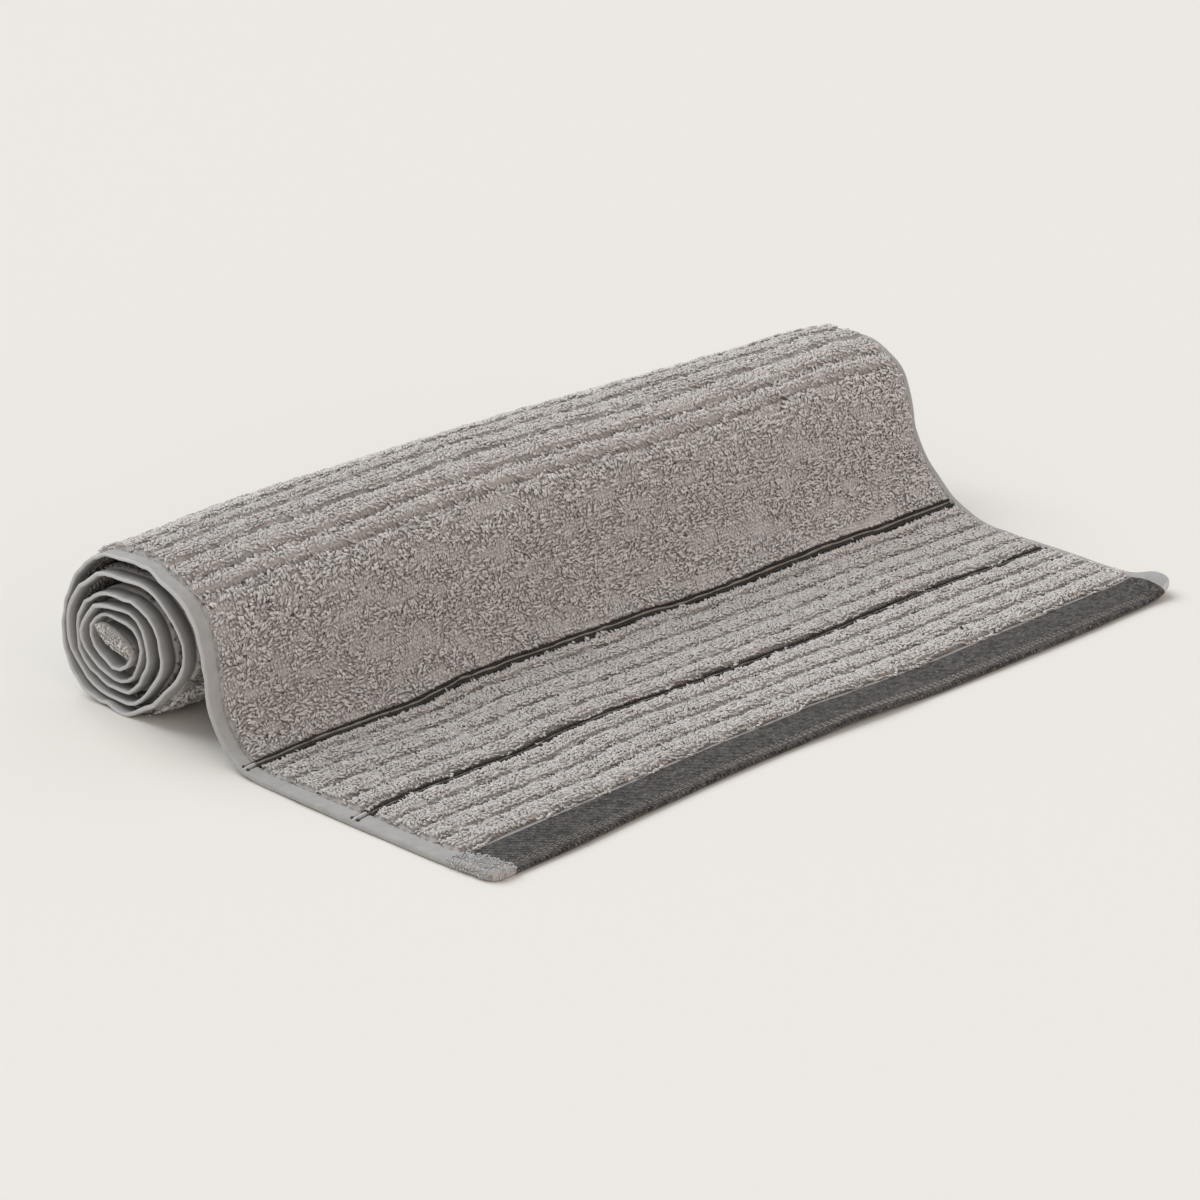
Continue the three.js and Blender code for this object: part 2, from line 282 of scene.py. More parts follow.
def rollTurn(index, shape):  # the four quarters of one turn, from its front over the top to the next front
    turns = lie["turns"]
    turn = turns[index]
    last = index + 1 == len(turns)
    following = lie["core"] if last else turns[index + 1]
    front = shape["drape"] if index == 0 else turn["front"] * shape["wide"]
    back = turn["back"] * shape["wide"]
    top = turn["top"] * shape["tall"]
    bottom = turn["bottom"] * shape["tall"]
    dent = 0 if last else following["dent"]
    quarters = (
        (-front, top, shape["squareness"][0], True, 0),
        (back, top, shape["squareness"][1], False, 0),
        (back, -bottom, shape["squareness"][2], True, 0),
        (-following["front"] * shape["wide"], -bottom, shape["squareness"][3], False, dent),
    )
    part = np.arange(1, lie["quarterSteps"] + 1) / lie["quarterSteps"]
    pieces = []
    for place, (sideways, upward, power, rising, pushed) in enumerate(quarters):
        angle = math.pi / 2 * (part if rising else 1 - part)
        level = np.clip(np.cos(angle), 0, 1) ** (2 / power) * sideways
        raised = np.sin(angle) ** (2 / power) * upward
        kept = 1 - pushed * np.sin(math.pi * part) ** 2 / np.hypot(level, raised)
        lean = turn["lean"] + (following["lean"] - turn["lean"]) * (place + part) / 4
        pieces.append(leaned(level * kept, raised * kept, lean))
    return np.vstack(pieces)


def rollCore(shape):  # the far end of the cloth, folded double
    core = lie["core"]
    front = -core["front"] * shape["wide"]
    fold = core["back"] * shape["wide"] - core["hairpin"]
    bend = np.radians(np.linspace(6, 90, 15))
    turn = np.radians(np.linspace(90, -90, 31))
    bent = leaned(front + core["bend"] * (1 - np.cos(bend)), core["bend"] * np.sin(bend), core["lean"])
    height = core["bend"] - core["hairpin"] * (1 - np.sin(turn))
    folded = leaned(fold + core["hairpin"] * np.cos(turn), height, core["lean"])
    end = np.array([-core["end"] * shape["wide"]])
    return np.vstack([bent, folded, leaned(end, core["bend"] - 2 * core["hairpin"], core["lean"])])


def sectionShape(fromLeft):
    part = fromLeft / weave["width"]
    left = math.exp(-fromLeft / lie["leftFlare"]["reach"])
    bow = lie["bow"]
    wave = math.cos(2 * math.pi * (fromLeft - bow["waveStart"]) / bow["waveLength"])
    shape = {name: lie[name][0] + (lie[name][1] - lie[name][0]) * part
             for name in ("centre", "drape", "touch", "upperPull", "lowerPull")}
    shape["wide"] = 1 + lie["leftFlare"]["wider"] * left
    shape["tall"] = np.interp(fromLeft, *lie["rollTall"])
    topFront, topBack, bottomBack, bottomFront = lie["squareness"]
    shape["squareness"] = (topFront, topBack - lie["leftFlare"]["rounder"] * left, bottomBack, bottomFront)
    shape["front"] = (bow["depth"] + bow["wave"] * wave) * (1 - math.exp(-fromLeft / bow["reach"]))
    return shape


def middleLine(fromLeft):  # [y, z] points from the front edge of the cloth to its end inside the roll
    shape = sectionShape(fromLeft)
    rest = weave["under"]
    roll = [leaned(np.array([-shape["drape"]]), np.array([0.0]), lie["turns"][0]["lean"])]
    roll += [rollTurn(index, shape) for index in range(len(lie["turns"]))]
    roll = np.vstack([*roll, rollCore(shape)])
    roll += [shape["centre"], rest - roll[:, 1].min() - lie["flatSpot"]]
    outer = 4 * lie["quarterSteps"] + 1
    roll[:outer, 1] = np.maximum(roll[:outer, 1], rest)
    top = roll[0]
    pull = leaned(np.array([0.0]), np.array([-shape["upperPull"]]), lie["turns"][0]["lean"])[0]
    foot = np.array([shape["touch"], rest])
    knee = np.array([shape["touch"] + shape["lowerPull"], rest])
    t = np.linspace(0, 1, 81)[:, None]
    hanging = (1 - t) ** 3 * foot + 3 * (1 - t) ** 2 * t * knee
    hanging = hanging + 3 * (1 - t) * t ** 2 * (top + pull) + t ** 3 * top
    return np.vstack([[shape["front"], rest], hanging, roll[1:]])


def mapCloth():  # the middle of the cloth on an even grid of places on it, with its upward normals
    width = weave["width"]
    nearEdge = np.array([0, 3, 6, 10, 15, 21, 28, 37, 48, 62, 78, 96])
    places = np.r_[nearEdge, np.linspace(120, width - 120, 10), (width - nearEdge)[::-1]]
    along = np.arange(0, weave["length"] + lie["mapStep"], lie["mapStep"])
    rows = {name: [] for name in ("y", "z", "ny", "nz")}
    for place in places:
        line = middleLine(place)
        reached = np.r_[0, np.cumsum(np.hypot(*np.diff(line, axis=0).T))]
        start = weave["rollStart"]
        stretch = (reached[-1] - start) / (weave["length"] - start)
        real = np.where(along > start, start + (along - start) * stretch, along)
        y, z = (np.interp(real, reached, line[:, k]) for k in (0, 1))
        dy, dz = (np.interp(real + 0.8, reached, line[:, k]) - np.interp(real - 0.8, reached, line[:, k])
                  for k in (0, 1))
        run = np.hypot(dy, dz)
        for name, values in zip(rows, (y, z, -dz / run, dy / run)):
            rows[name].append(values)
    made = {name: np.array(values) for name, values in rows.items()}
    made["places"] = places
    return made


clothMap = mapCloth()


def roundCorners(along, across):  # draws the two square front corners in to round ones
    left = lie["corners"]["left"]
    right = lie["corners"]["right"]
    moved = along
    shifted = across
    for reach, inward, sign in ((left, across, 1), (right, weave["width"] - across, -1)):
        p = np.clip(1 - along / reach, 0, 1.2)
        q = np.clip(1 - inward / reach, 0, 1.2)
        moved = moved + reach * p * (1 - np.sqrt(1 - q * q / 2))
        shifted = shifted + sign * reach * q * (1 - np.sqrt(1 - p * p / 2))
    return moved, shifted


def fitHems(along, across):  # the left hem is narrower on the roll, the right one wider at its corner
    squeeze = lie["hemSqueeze"]
    narrowed = np.interp(across, (0, weave["leftHem"], squeeze["reach"]), (0, squeeze["depth"], 0))
    across = across - narrowed * smoothStep(along, squeeze["from"], squeeze["full"])
    widen = lie["hemWiden"]
    inward = weave["width"] - across
    widened = np.interp(inward, (0, weave["rightHem"], widen["reach"]), (0, widen["depth"], 0))
    return across - widened * np.exp(-(along / widen["along"]) ** 2)


def onMap(along, across):  # looks the four maps up at places on the cloth
    places = clothMap["places"]
    column = np.interp(across, places, np.arange(len(places)))
    i = np.clip(column.astype(int), 0, len(places) - 2)
    row = np.clip(along / lie["mapStep"], 0, clothMap["y"].shape[1] - 1.001)
    j = row.astype(int)
    fi = column - i
    fj = row - j
    found = {}
    for name in ("y", "z", "ny", "nz"):
        grid = clothMap[name]
        low = grid[i, j] * (1 - fi) + grid[i + 1, j] * fi
        high = grid[i, j + 1] * (1 - fi) + grid[i + 1, j + 1] * fi
        found[name] = low * (1 - fj) + high * fj
    return found


def sideEdges(along, across, wound):  # where the two side edges lie
    stagger = lie["stagger"]
    turned = np.maximum(along - stagger["from"], 0) / stagger["length"]
    left = np.interp(along, *lie["leftEdge"]) + stagger["depth"] * np.sin(2 * math.pi * turned)
    right = np.interp(along, *lie["rightEdge"])
    waver = lie["hemWaver"]
    reach = waver["depth"] * (0.3 + 0.7 * wound)
    left = left + reach * softNoise(along / waver["length"], 40 + 0 * across)
    return left, right + reach * softNoise(along / waver["length"], 80 + 0 * across)


def frontLift(along, across):  # how far the right corner's lip and the middle of the front edge stand clear
    rise = lie["frontRise"]
    beside = (across - rise["across"]) / rise["width"]
    clear = rise["lift"] * np.exp(-beside ** 2 - along / lie["frontReach"])
    lip = lie["lip"]
    width = weave["width"]
    steep = smoothStep(across, width - lip["width"], width)
    gentle = np.clip(1 - (width - across) / lip["wide"], 0, 1) ** 2
    curl = (1 - lip["gentle"]) * steep + lip["gentle"] * gentle
    return clear, lip["lift"] * curl * np.exp(-((along - lip["at"]) / lip["reach"]) ** 2)


def onCloth(along, across, height):  # points in the frame, at a height over the middle of the cloth
    along, across = roundCorners(along, across)
    across = fitHems(along, across)
    found = onMap(along, across)
    wound = smoothStep(along, 60, 240)
    left, right = sideEdges(along, across, wound)
    kink = lie["hemKink"]
    folds = softNoise(along / kink["length"], across / 60)
    folds = folds + 0.5 * softNoise(along / kink["length"] * 2.6, across / 30)
    height = height + kink["depth"] * wound * np.exp(-across / kink["reach"]) * folds
    pucker = lie["puckers"]
    noise = softNoise(across / pucker["across"], 30 + along / pucker["along"])
    puckered = pucker["depth"] * (1 - smoothStep(along, 95, 150)) * (0.5 + 0.5 * noise)
    clear, lifted = frontLift(along, across)
    ahead = np.interp(across, *lie["frontEdge"]) * np.exp(-along / lie["frontReach"])
    x = left + (right - left) * (across / weave["width"])
    y = found["y"] + found["ny"] * height + ahead
    z = found["z"] + found["nz"] * height + puckered + clear
    z = np.maximum(z, lie["offFloor"]) + lifted
    return np.stack([x + sideShift, y + frontShift, z], -1) * metre


def hemSides(across):  # how far inside the nearer side hem a place lies: below 0 on the hem itself
    return np.minimum(across - weave["leftHem"], weave["width"] - weave["rightHem"] - across)


def wander(woven, across):  # how far a line of the weave has strayed from a straight line across the cloth
    zone = smoothStep(woven, weave["band"], 40) * (1 - smoothStep(woven, *weave["wanderFade"]))
    part = across / weave["width"]
    strayed = 0.0
    for share, waves, length in weave["wanderWaves"]:
        strayed = strayed + share * np.sin(2 * math.pi * (waves * part + woven / length))
    fine = weave["wanderNoise"]
    strayed = strayed + fine["share"] * softNoise(across / fine["across"], woven / fine["along"])
    pulled = np.interp(across, *weave["pulled"]) * (1 - smoothStep(woven, 120, 190))
    skew = weave["skew"]
    ahead = skew["depth"] * smoothStep(woven, skew["from"], skew["full"]) * (1 - 2 * part)
    loose = weave["loose"]
    noise = softNoise(across / loose["across"], 60 + woven / loose["along"])
    loosened = loose["depth"] * smoothStep(woven, 185, 215) * noise
    bump = weave["bandBump"]
    beside = (across - bump["across"]) / bump["reach"]
    near = np.exp(-beside ** 2 - ((woven - weave["band"]) / bump["along"]) ** 2)
    strayed = weave["wander"] * strayed + pulled + ahead + loosened
    return zone * strayed + bump["depth"] * near


def fromGroove(woven):  # the distance to the nearest groove, and the place between two grooves from 0 to 1
    distance = np.full(np.shape(woven), 99.0)
    between = np.zeros(np.shape(woven))
    for grooves in ribEdges:
        edges = np.array(grooves)
        inside = (woven >= edges[0]) & (woven <= edges[-1])
        index = np.clip(np.searchsorted(edges, woven) - 1, 0, len(edges) - 2)
        start, end = edges[index], edges[index + 1]
        distance = np.where(inside, np.minimum(woven - start, end - woven), distance)
        between = np.where(inside, (woven - start) / (end - start), between)
    return distance, between


def inNub(woven, across):  # 1 on the terry corner at the left end of the band, 0 off it
    nub = weave["nub"]
    away = (across / nub["across"]) ** nub["power"] + (np.maximum(woven, 0) / nub["along"]) ** nub["power"]
    return 1 - smoothStep(away, 0.7, 1.0)


def groundHeight(woven, across):  # of the woven ground over the middle of the cloth
    distance, between = fromGroove(woven)
    rise = smoothStep(distance, weave["ribFoot"], weave["ribCrown"])
    rise = rise * (1 + weave["ribRound"] * (np.sin(math.pi * between) - 1))
    height = weave["grooveFace"] + (weave["ribFace"] - weave["grooveFace"]) * rise
    start, end = weave["plainStart"], rollGrooves[0]
    plain = (woven > start) & (woven < end)
    raised = smoothStep(woven, start, start + 1.8) * (1 - smoothStep(woven, end - 2.4, end))
    field = weave["grooveFace"] + (weave["plainFace"] - weave["grooveFace"]) * raised
    height = np.where(plain, field, height)
    for low, high in stripeZones:
        height = np.where((woven >= low) & (woven <= high), weave["stripeFace"], height)
    height = np.where(woven <= weave["selvage"], weave["bandFace"], height)
    height = np.where(woven >= rollGrooves[-1], weave["innerFace"], height)
    return height + (weave["nub"]["face"] - height) * inNub(woven, across)


print("cloth: its lie is worked out on", clothMap["y"].size, "places")


# Finishes. Every colour is a screen value, and each finish varies over the cloth

finishes = {
    "yarnDark": (168, 164, 161),
    "yarnLight": (235, 232, 229),
    "nubDark": (146, 146, 147),
    "nubLight": (205, 206, 207),
    # painted shade: darker yarn for the loops between the turns
    "deepShadeDark": (96, 92, 89),
    "deepShadeLight": (160, 155, 151),
    "pileGroundDark": (162, 158, 155),
    "pileGroundLight": (202, 198, 195),
    # painted shade: the darker tone of the bare ground in and near the grooves
    "bareGroundShadeDark": (106, 101, 97),
    "bareGroundShadeLight": (150, 144, 139),
    "hemDark": (154, 154, 153),
    "hemLight": (182, 182, 181),
    # painted highlight on the rims of the wound hems
    "hemRim": (198, 198, 198),
    # painted shade on the hems between the turns of the roll
    "hemShade": (112, 112, 112),
    "bandDark": (28, 26, 26),
    "bandLight": (82, 78, 76),
    "bandFleck": (146, 142, 136),
    "stripeDark": (42, 39, 37),
    "stripeLight": (72, 67, 62),
    "threadDark": (132, 129, 121),
    "threadLight": (188, 184, 175),
    "hemStitchDark": (140, 138, 135),
    "hemStitchLight": (168, 167, 165),
    "stripeThreadDark": (106, 102, 95),
    "stripeThreadLight": (166, 161, 152),
    "cordDark": (182, 182, 181),
    "cordLight": (208, 208, 207),
    # painted shade: the dark tone of the cones in the pile's holes and grooves
    "gapShadeDark": (96, 89, 84),
    "gapShadeLight": (134, 125, 119),
}


def newFinish(name, sheen, roughness):
    material = bpy.data.materials.new(name)
    material.use_nodes = True
    shader = material.node_tree.nodes["Principled BSDF"]
    shader.inputs["Roughness"].default_value = roughness
    shader.inputs["Specular IOR Level"].default_value = 0.15
    shader.inputs["Sheen Weight"].default_value = sheen
    shader.inputs["Sheen Roughness"].default_value = 0.6
    return material, material.node_tree, shader


def addNode(tree, kind, settings=None, inputs=None):
    node = tree.nodes.new(kind)
    for name, value in (settings or {}).items():
        setattr(node, name, value)
    for name, value in (inputs or {}).items():
        if isinstance(value, bpy.types.NodeSocket):
            tree.links.new(value, node.inputs[name])
        else:
            node.inputs[name].default_value = value
    return node


def attribute(tree, name):
    return addNode(tree, "ShaderNodeAttribute", {"attribute_name": name}).outputs["Fac"]


def sums(tree, operation, first, second):
    return addNode(tree, "ShaderNodeMath", {"operation": operation}, {0: first, 1: second}).outputs[0]


def blendTones(tree, share, dark, light):
    ramp = addNode(tree, "ShaderNodeMix", {"data_type": "RGBA"}, {"Factor": share})
    colours = [socket for socket in ramp.inputs if socket.type == "RGBA"]
    for socket, colour in zip(colours, (dark, light)):
        if isinstance(colour, bpy.types.NodeSocket):
            tree.links.new(colour, socket)
        else:
            socket.default_value = tone(colour)
    return next(socket for socket in ramp.outputs if socket.type == "RGBA")


def noiseAt(tree, scale, detail=2.0):
    place = addNode(tree, "ShaderNodeTexCoord").outputs["Object"]
    inputs = {"Vector": place, "Scale": scale, "Detail": detail}
    return addNode(tree, "ShaderNodeTexNoise", None, inputs).outputs[0]


def rangeOf(tree, value, low, high, most=1.0):  # 0 up to the low value, the most from the high one on
    return addNode(tree, "ShaderNodeMapRange", None, {0: value, 1: low, 2: high, 4: most}).outputs[0]


def addBump(tree, shader, height, strength, distance):
    inputs = {"Height": height, "Strength": strength, "Distance": distance}
    bump = addNode(tree, "ShaderNodeBump", None, inputs)
    tree.links.new(bump.outputs[0], shader.inputs["Normal"])


def waveAt(tree, pitch, alongShare, acrossShare):  # even lines on the cloth, from -1 to 1
    alongPart = sums(tree, "MULTIPLY", attribute(tree, "along"), alongShare)
    acrossPart = sums(tree, "MULTIPLY", attribute(tree, "across"), acrossShare)
    turned = sums(tree, "MULTIPLY", sums(tree, "ADD", alongPart, acrossPart), 2 * math.pi / pitch)
    return addNode(tree, "ShaderNodeMath", {"operation": "SINE"}, {0: turned}).outputs[0]


def loopFinish(name, dark, light):  # cotton yarn of the loops, each loop with a tint of its own
    material, tree, shader = newFinish(name, 0.3, 0.92)
    fuzz = sums(tree, "MULTIPLY", sums(tree, "SUBTRACT", noiseAt(tree, 900.0), 0.5), 0.5)
    share = sums(tree, "ADD", attribute(tree, "tint"), fuzz)
    tree.links.new(blendTones(tree, share, finishes[dark], finishes[light]), shader.inputs["Base Color"])
    addBump(tree, shader, noiseAt(tree, 2600.0), 0.35, 0.0002)
    return material


def groundFinish():  # the woven ground: fuzzy between the loops, finely hatched where it is bare, and painted darker there as shade in the grooves
    material, tree, shader = newFinish("terryGround", 0.15, 0.95)
    mottled = noiseAt(tree, 420.0, 4.0)
    hatch = waveAt(tree, 2.0, 0.25, 1.0)
    hatch = sums(tree, "MULTIPLY", hatch, attribute(tree, "bareAndShade"))
    hatched = sums(tree, "ADD", mottled, sums(tree, "MULTIPLY", hatch, 1.3))
    pileTone = blendTones(tree, hatched, finishes["pileGroundDark"], finishes["pileGroundLight"])
    # painted shade: the bare ground near the grooves takes a darker tone
    bareShadeTone = blendTones(tree, hatched, finishes["bareGroundShadeDark"], finishes["bareGroundShadeLight"])
    colour = blendTones(tree, attribute(tree, "bareAndShade"), pileTone, bareShadeTone)
    tree.links.new(colour, shader.inputs["Base Color"])
    height = sums(tree, "ADD", sums(tree, "MULTIPLY", hatch, 0.9), noiseAt(tree, 1100.0, 3.0))
    addBump(tree, shader, height, 0.8, 0.0005)
    return material


def hemFinish():
    material, tree, shader = newFinish("hemWeave", 0.2, 0.85)
    threads = sums(tree, "MULTIPLY", waveAt(tree, 0.7, 1.0, 0.0), waveAt(tree, 0.7, 0.0, 1.0))
    mottled = sums(tree, "ADD", noiseAt(tree, 260.0, 4.0), sums(tree, "MULTIPLY", threads, 0.12))
    colour = blendTones(tree, mottled, finishes["hemDark"], finishes["hemLight"])
    # painted shade: hems between the turns blend to a greyer tone
    colour = blendTones(tree, attribute(tree, "bareAndShade"), colour, finishes["hemShade"])
    # painted highlight on the hem rims; paler also at the corner nub and the band's turned tip
    colour = blendTones(tree, attribute(tree, "light"), colour, finishes["hemRim"])
    tree.links.new(colour, shader.inputs["Base Color"])
    height = sums(tree, "ADD", sums(tree, "MULTIPLY", threads, 0.3), noiseAt(tree, 900.0, 3.0))
    addBump(tree, shader, height, 0.3, 0.0002)
    return material


def bandFinish():  # charcoal twill with light flecks where the warp shows
    material, tree, shader = newFinish("bandTwill", 0.15, 0.9)
    twill = waveAt(tree, 2.0, 1.0, 1.0)
    grain = rangeOf(tree, noiseAt(tree, 520.0, 4.0), 0.38, 0.62)
    patches = sums(tree, "MULTIPLY", sums(tree, "SUBTRACT", noiseAt(tree, 210.0, 4.0), 0.5), 1.5)
    share = sums(tree, "ADD", sums(tree, "ADD", sums(tree, "MULTIPLY", twill, 0.32), grain), patches)
    cloth = blendTones(tree, share, finishes["bandDark"], finishes["bandLight"])
    fleck = rangeOf(tree, noiseAt(tree, 1000.0, 1.0), 0.62, 0.70, 0.6)
    flecked = blendTones(tree, fleck, cloth, finishes["bandFleck"])
    pale = blendTones(tree, grain, finishes["hemDark"], finishes["hemLight"])
    border = rangeOf(tree, attribute(tree, "light"), 0.42, 0.58)
    tree.links.new(blendTones(tree, border, flecked, pale), shader.inputs["Base Color"])
    height = sums(tree, "ADD", sums(tree, "MULTIPLY", twill, 0.5), noiseAt(tree, 1300.0, 3.0))
    addBump(tree, shader, height, 0.5, 0.0003)
    return material


def yarnFinish(name, dark, light):  # sewing thread, the flat yarn of the stripes, and the painted shade in the pile's holes
    material, tree, shader = newFinish(name, 0.1, 0.85)
    colour = blendTones(tree, noiseAt(tree, 900.0, 3.0), finishes[dark], finishes[light])
    tree.links.new(colour, shader.inputs["Base Color"])
    addBump(tree, shader, noiseAt(tree, 2400.0), 0.4, 0.0002)
    return material


materials = {
    "loops": loopFinish("loopYarn", "yarnDark", "yarnLight"),
    "nub": loopFinish("nubYarn", "nubDark", "nubLight"),
    "deep": loopFinish("deepShadeYarn", "deepShadeDark", "deepShadeLight"),  # painted shade: a darker yarn for the loops between the turns, where little light comes
    "ground": groundFinish(),
    "hem": hemFinish(),
    "band": bandFinish(),
    "stripe": yarnFinish("stripeYarn", "stripeDark", "stripeLight"),
    "thread": yarnFinish("bandThread", "threadDark", "threadLight"),
    "stripeThread": yarnFinish("stripeThread", "stripeThreadDark", "stripeThreadLight"),
    "hemStitch": yarnFinish("hemThread", "hemStitchDark", "hemStitchLight"),
    "cord": yarnFinish("hemCord", "cordDark", "cordLight"),
    "gapShade": yarnFinish("pileGapShade", "gapShadeDark", "gapShadeLight"),
}
print("finishes:", ", ".join(materials))


# Every mesh is closed, and its faces are turned to point outwards

def outward(points, faceSets):
    volume = 0.0
    for faces in faceSets:
        for k in range(1, faces.shape[1] - 1):
            a, b, c = points[faces[:, 0]], points[faces[:, k]], points[faces[:, k + 1]]
            volume += float(np.einsum("ij,ij->i", a, np.cross(b, c)).sum())
    return faceSets if volume > 0 else [faces[:, ::-1] for faces in faceSets]


def newPiece(name, points, faceSets, pieceMaterials, values=None):
    mesh = bpy.data.meshes.new(name)
    points = np.asarray(points, float).reshape(-1, 3)
    faceSets = outward(points, faceSets)
    corners = np.concatenate([faces.ravel() for faces in faceSets]).astype(np.int32)
    sides = np.concatenate([np.full(len(faces), faces.shape[1]) for faces in faceSets])
    mesh.vertices.add(len(points))
    mesh.vertices.foreach_set("co", points.astype(np.float32).ravel())
    mesh.loops.add(len(corners))
    mesh.loops.foreach_set("vertex_index", corners)
    mesh.polygons.add(len(sides))
    mesh.polygons.foreach_set("loop_start", np.r_[0, np.cumsum(sides)[:-1]].astype(np.int32))
    mesh.polygons.foreach_set("use_smooth", np.ones(len(sides), bool))
    for key, data in (values or {}).items():
        layer = mesh.attributes.new(key, "FLOAT", "POINT")
        layer.data.foreach_set("value", np.asarray(data, np.float32).ravel())
    for material in pieceMaterials:
        mesh.materials.append(material)
    mesh.update(calc_edges=True)
    piece = bpy.data.objects.new(name, mesh)
    bpy.context.scene.collection.objects.link(piece)
    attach(piece, "root")
    return piece


# The cloth itself: one closed sheet, its faces marked as ground, hem, band or stripe

cloth = {
    "edgeSteps": (0.0, 0.12, 0.4, 0.8, 1.3),
    "hemStep": 1.9,
    "hemRim": (-0.25, 0.1, 0.6, 1.3, 2.4, 4.5),  # columns beside the inner edge of a hem
    "bandStep": 1.3,
    "ribMarks": (0.0, 0.07, 0.14, 0.24, 0.36, 0.5, 0.64, 0.76, 0.86, 0.93),
    "stripeMarks": (0.0, 0.08, 0.5, 0.92),
    "plainStep": 1.8,
    "innerStep": 4.6,
    "acrossStep": 9.0,
    "seamDepth": 0.5,  # of the line where a hem is sewn down
    "hemPuff": 0.28,
    "woundThinner": 0.36,
    "shadeAcross": (1.0, 7.0),
    "tip": {"across": 6.5, "along": 1.9},  # the hem turns round the right end of the band
}


def edgeRound(fromEdge):  # an edge is a half round of the cloth's own thickness
    part = np.clip(fromEdge / cloth["edgeSteps"][-1], 0, 1)
    return np.sqrt(np.clip(1 - (1 - part) ** 2, 0, 1))


def clothRows():
    edge = np.array(cloth["edgeSteps"])
    inBand = np.arange(edge[-1] + cloth["bandStep"], weave["band"] - 0.6, cloth["bandStep"])
    rows = [edge, inBand, [weave["band"]]]
    for grooves in ribEdges:
        for start, end in zip(grooves[:-1], grooves[1:]):
            rows.append(start + np.array(cloth["ribMarks"]) * (end - start))
    for start, end in stripeZones:
        rows.append(start + np.array(cloth["stripeMarks"]) * (end - start))
    rows.append(np.arange(weave["plainStart"], rollGrooves[0] - 0.5, cloth["plainStep"]))
    end = weave["length"] - edge[::-1]
    last = rollGrooves[-1]
    rows.append(np.linspace(last, end[0], int((end[0] - last) / cloth["innerStep"]))[:-1])
    rows.append(end)
    rows = np.sort(np.concatenate(rows))
    return rows[np.r_[True, np.diff(rows) > 0.02]]


def clothColumns():
    edge = np.array(cloth["edgeSteps"])
    sides = []
    for hem in (weave["leftHem"], weave["rightHem"]):
        across = np.arange(edge[-1] + cloth["hemStep"], hem - 1.0, cloth["hemStep"])
        sides.append(np.r_[edge, across, hem + np.array(cloth["hemRim"])])
    left, right = sides
    count = int((weave["width"] - left[-1] - right[-1]) / cloth["acrossStep"])
    middle = np.linspace(left[-1], weave["width"] - right[-1], count)[1:-1]
    return np.r_[left, middle, (weave["width"] - right)[::-1]]


def clothKinds(woven, across):  # 0 ground, 1 hem, 2 band, 3 stripe
    inside = hemSides(across) > 0
    kind = np.where(inside, 0, 1)
    for start, end in stripeZones:
        kind = np.where(inside & (woven > start) & (woven < end), 3, kind)
    kind = np.where(inside & (woven < weave["selvage"]), 1, kind)
    kind = np.where(inside & (woven < weave["band"]), 2, kind)
    return np.where(inNub(woven, across) > 0.95, 0, kind)


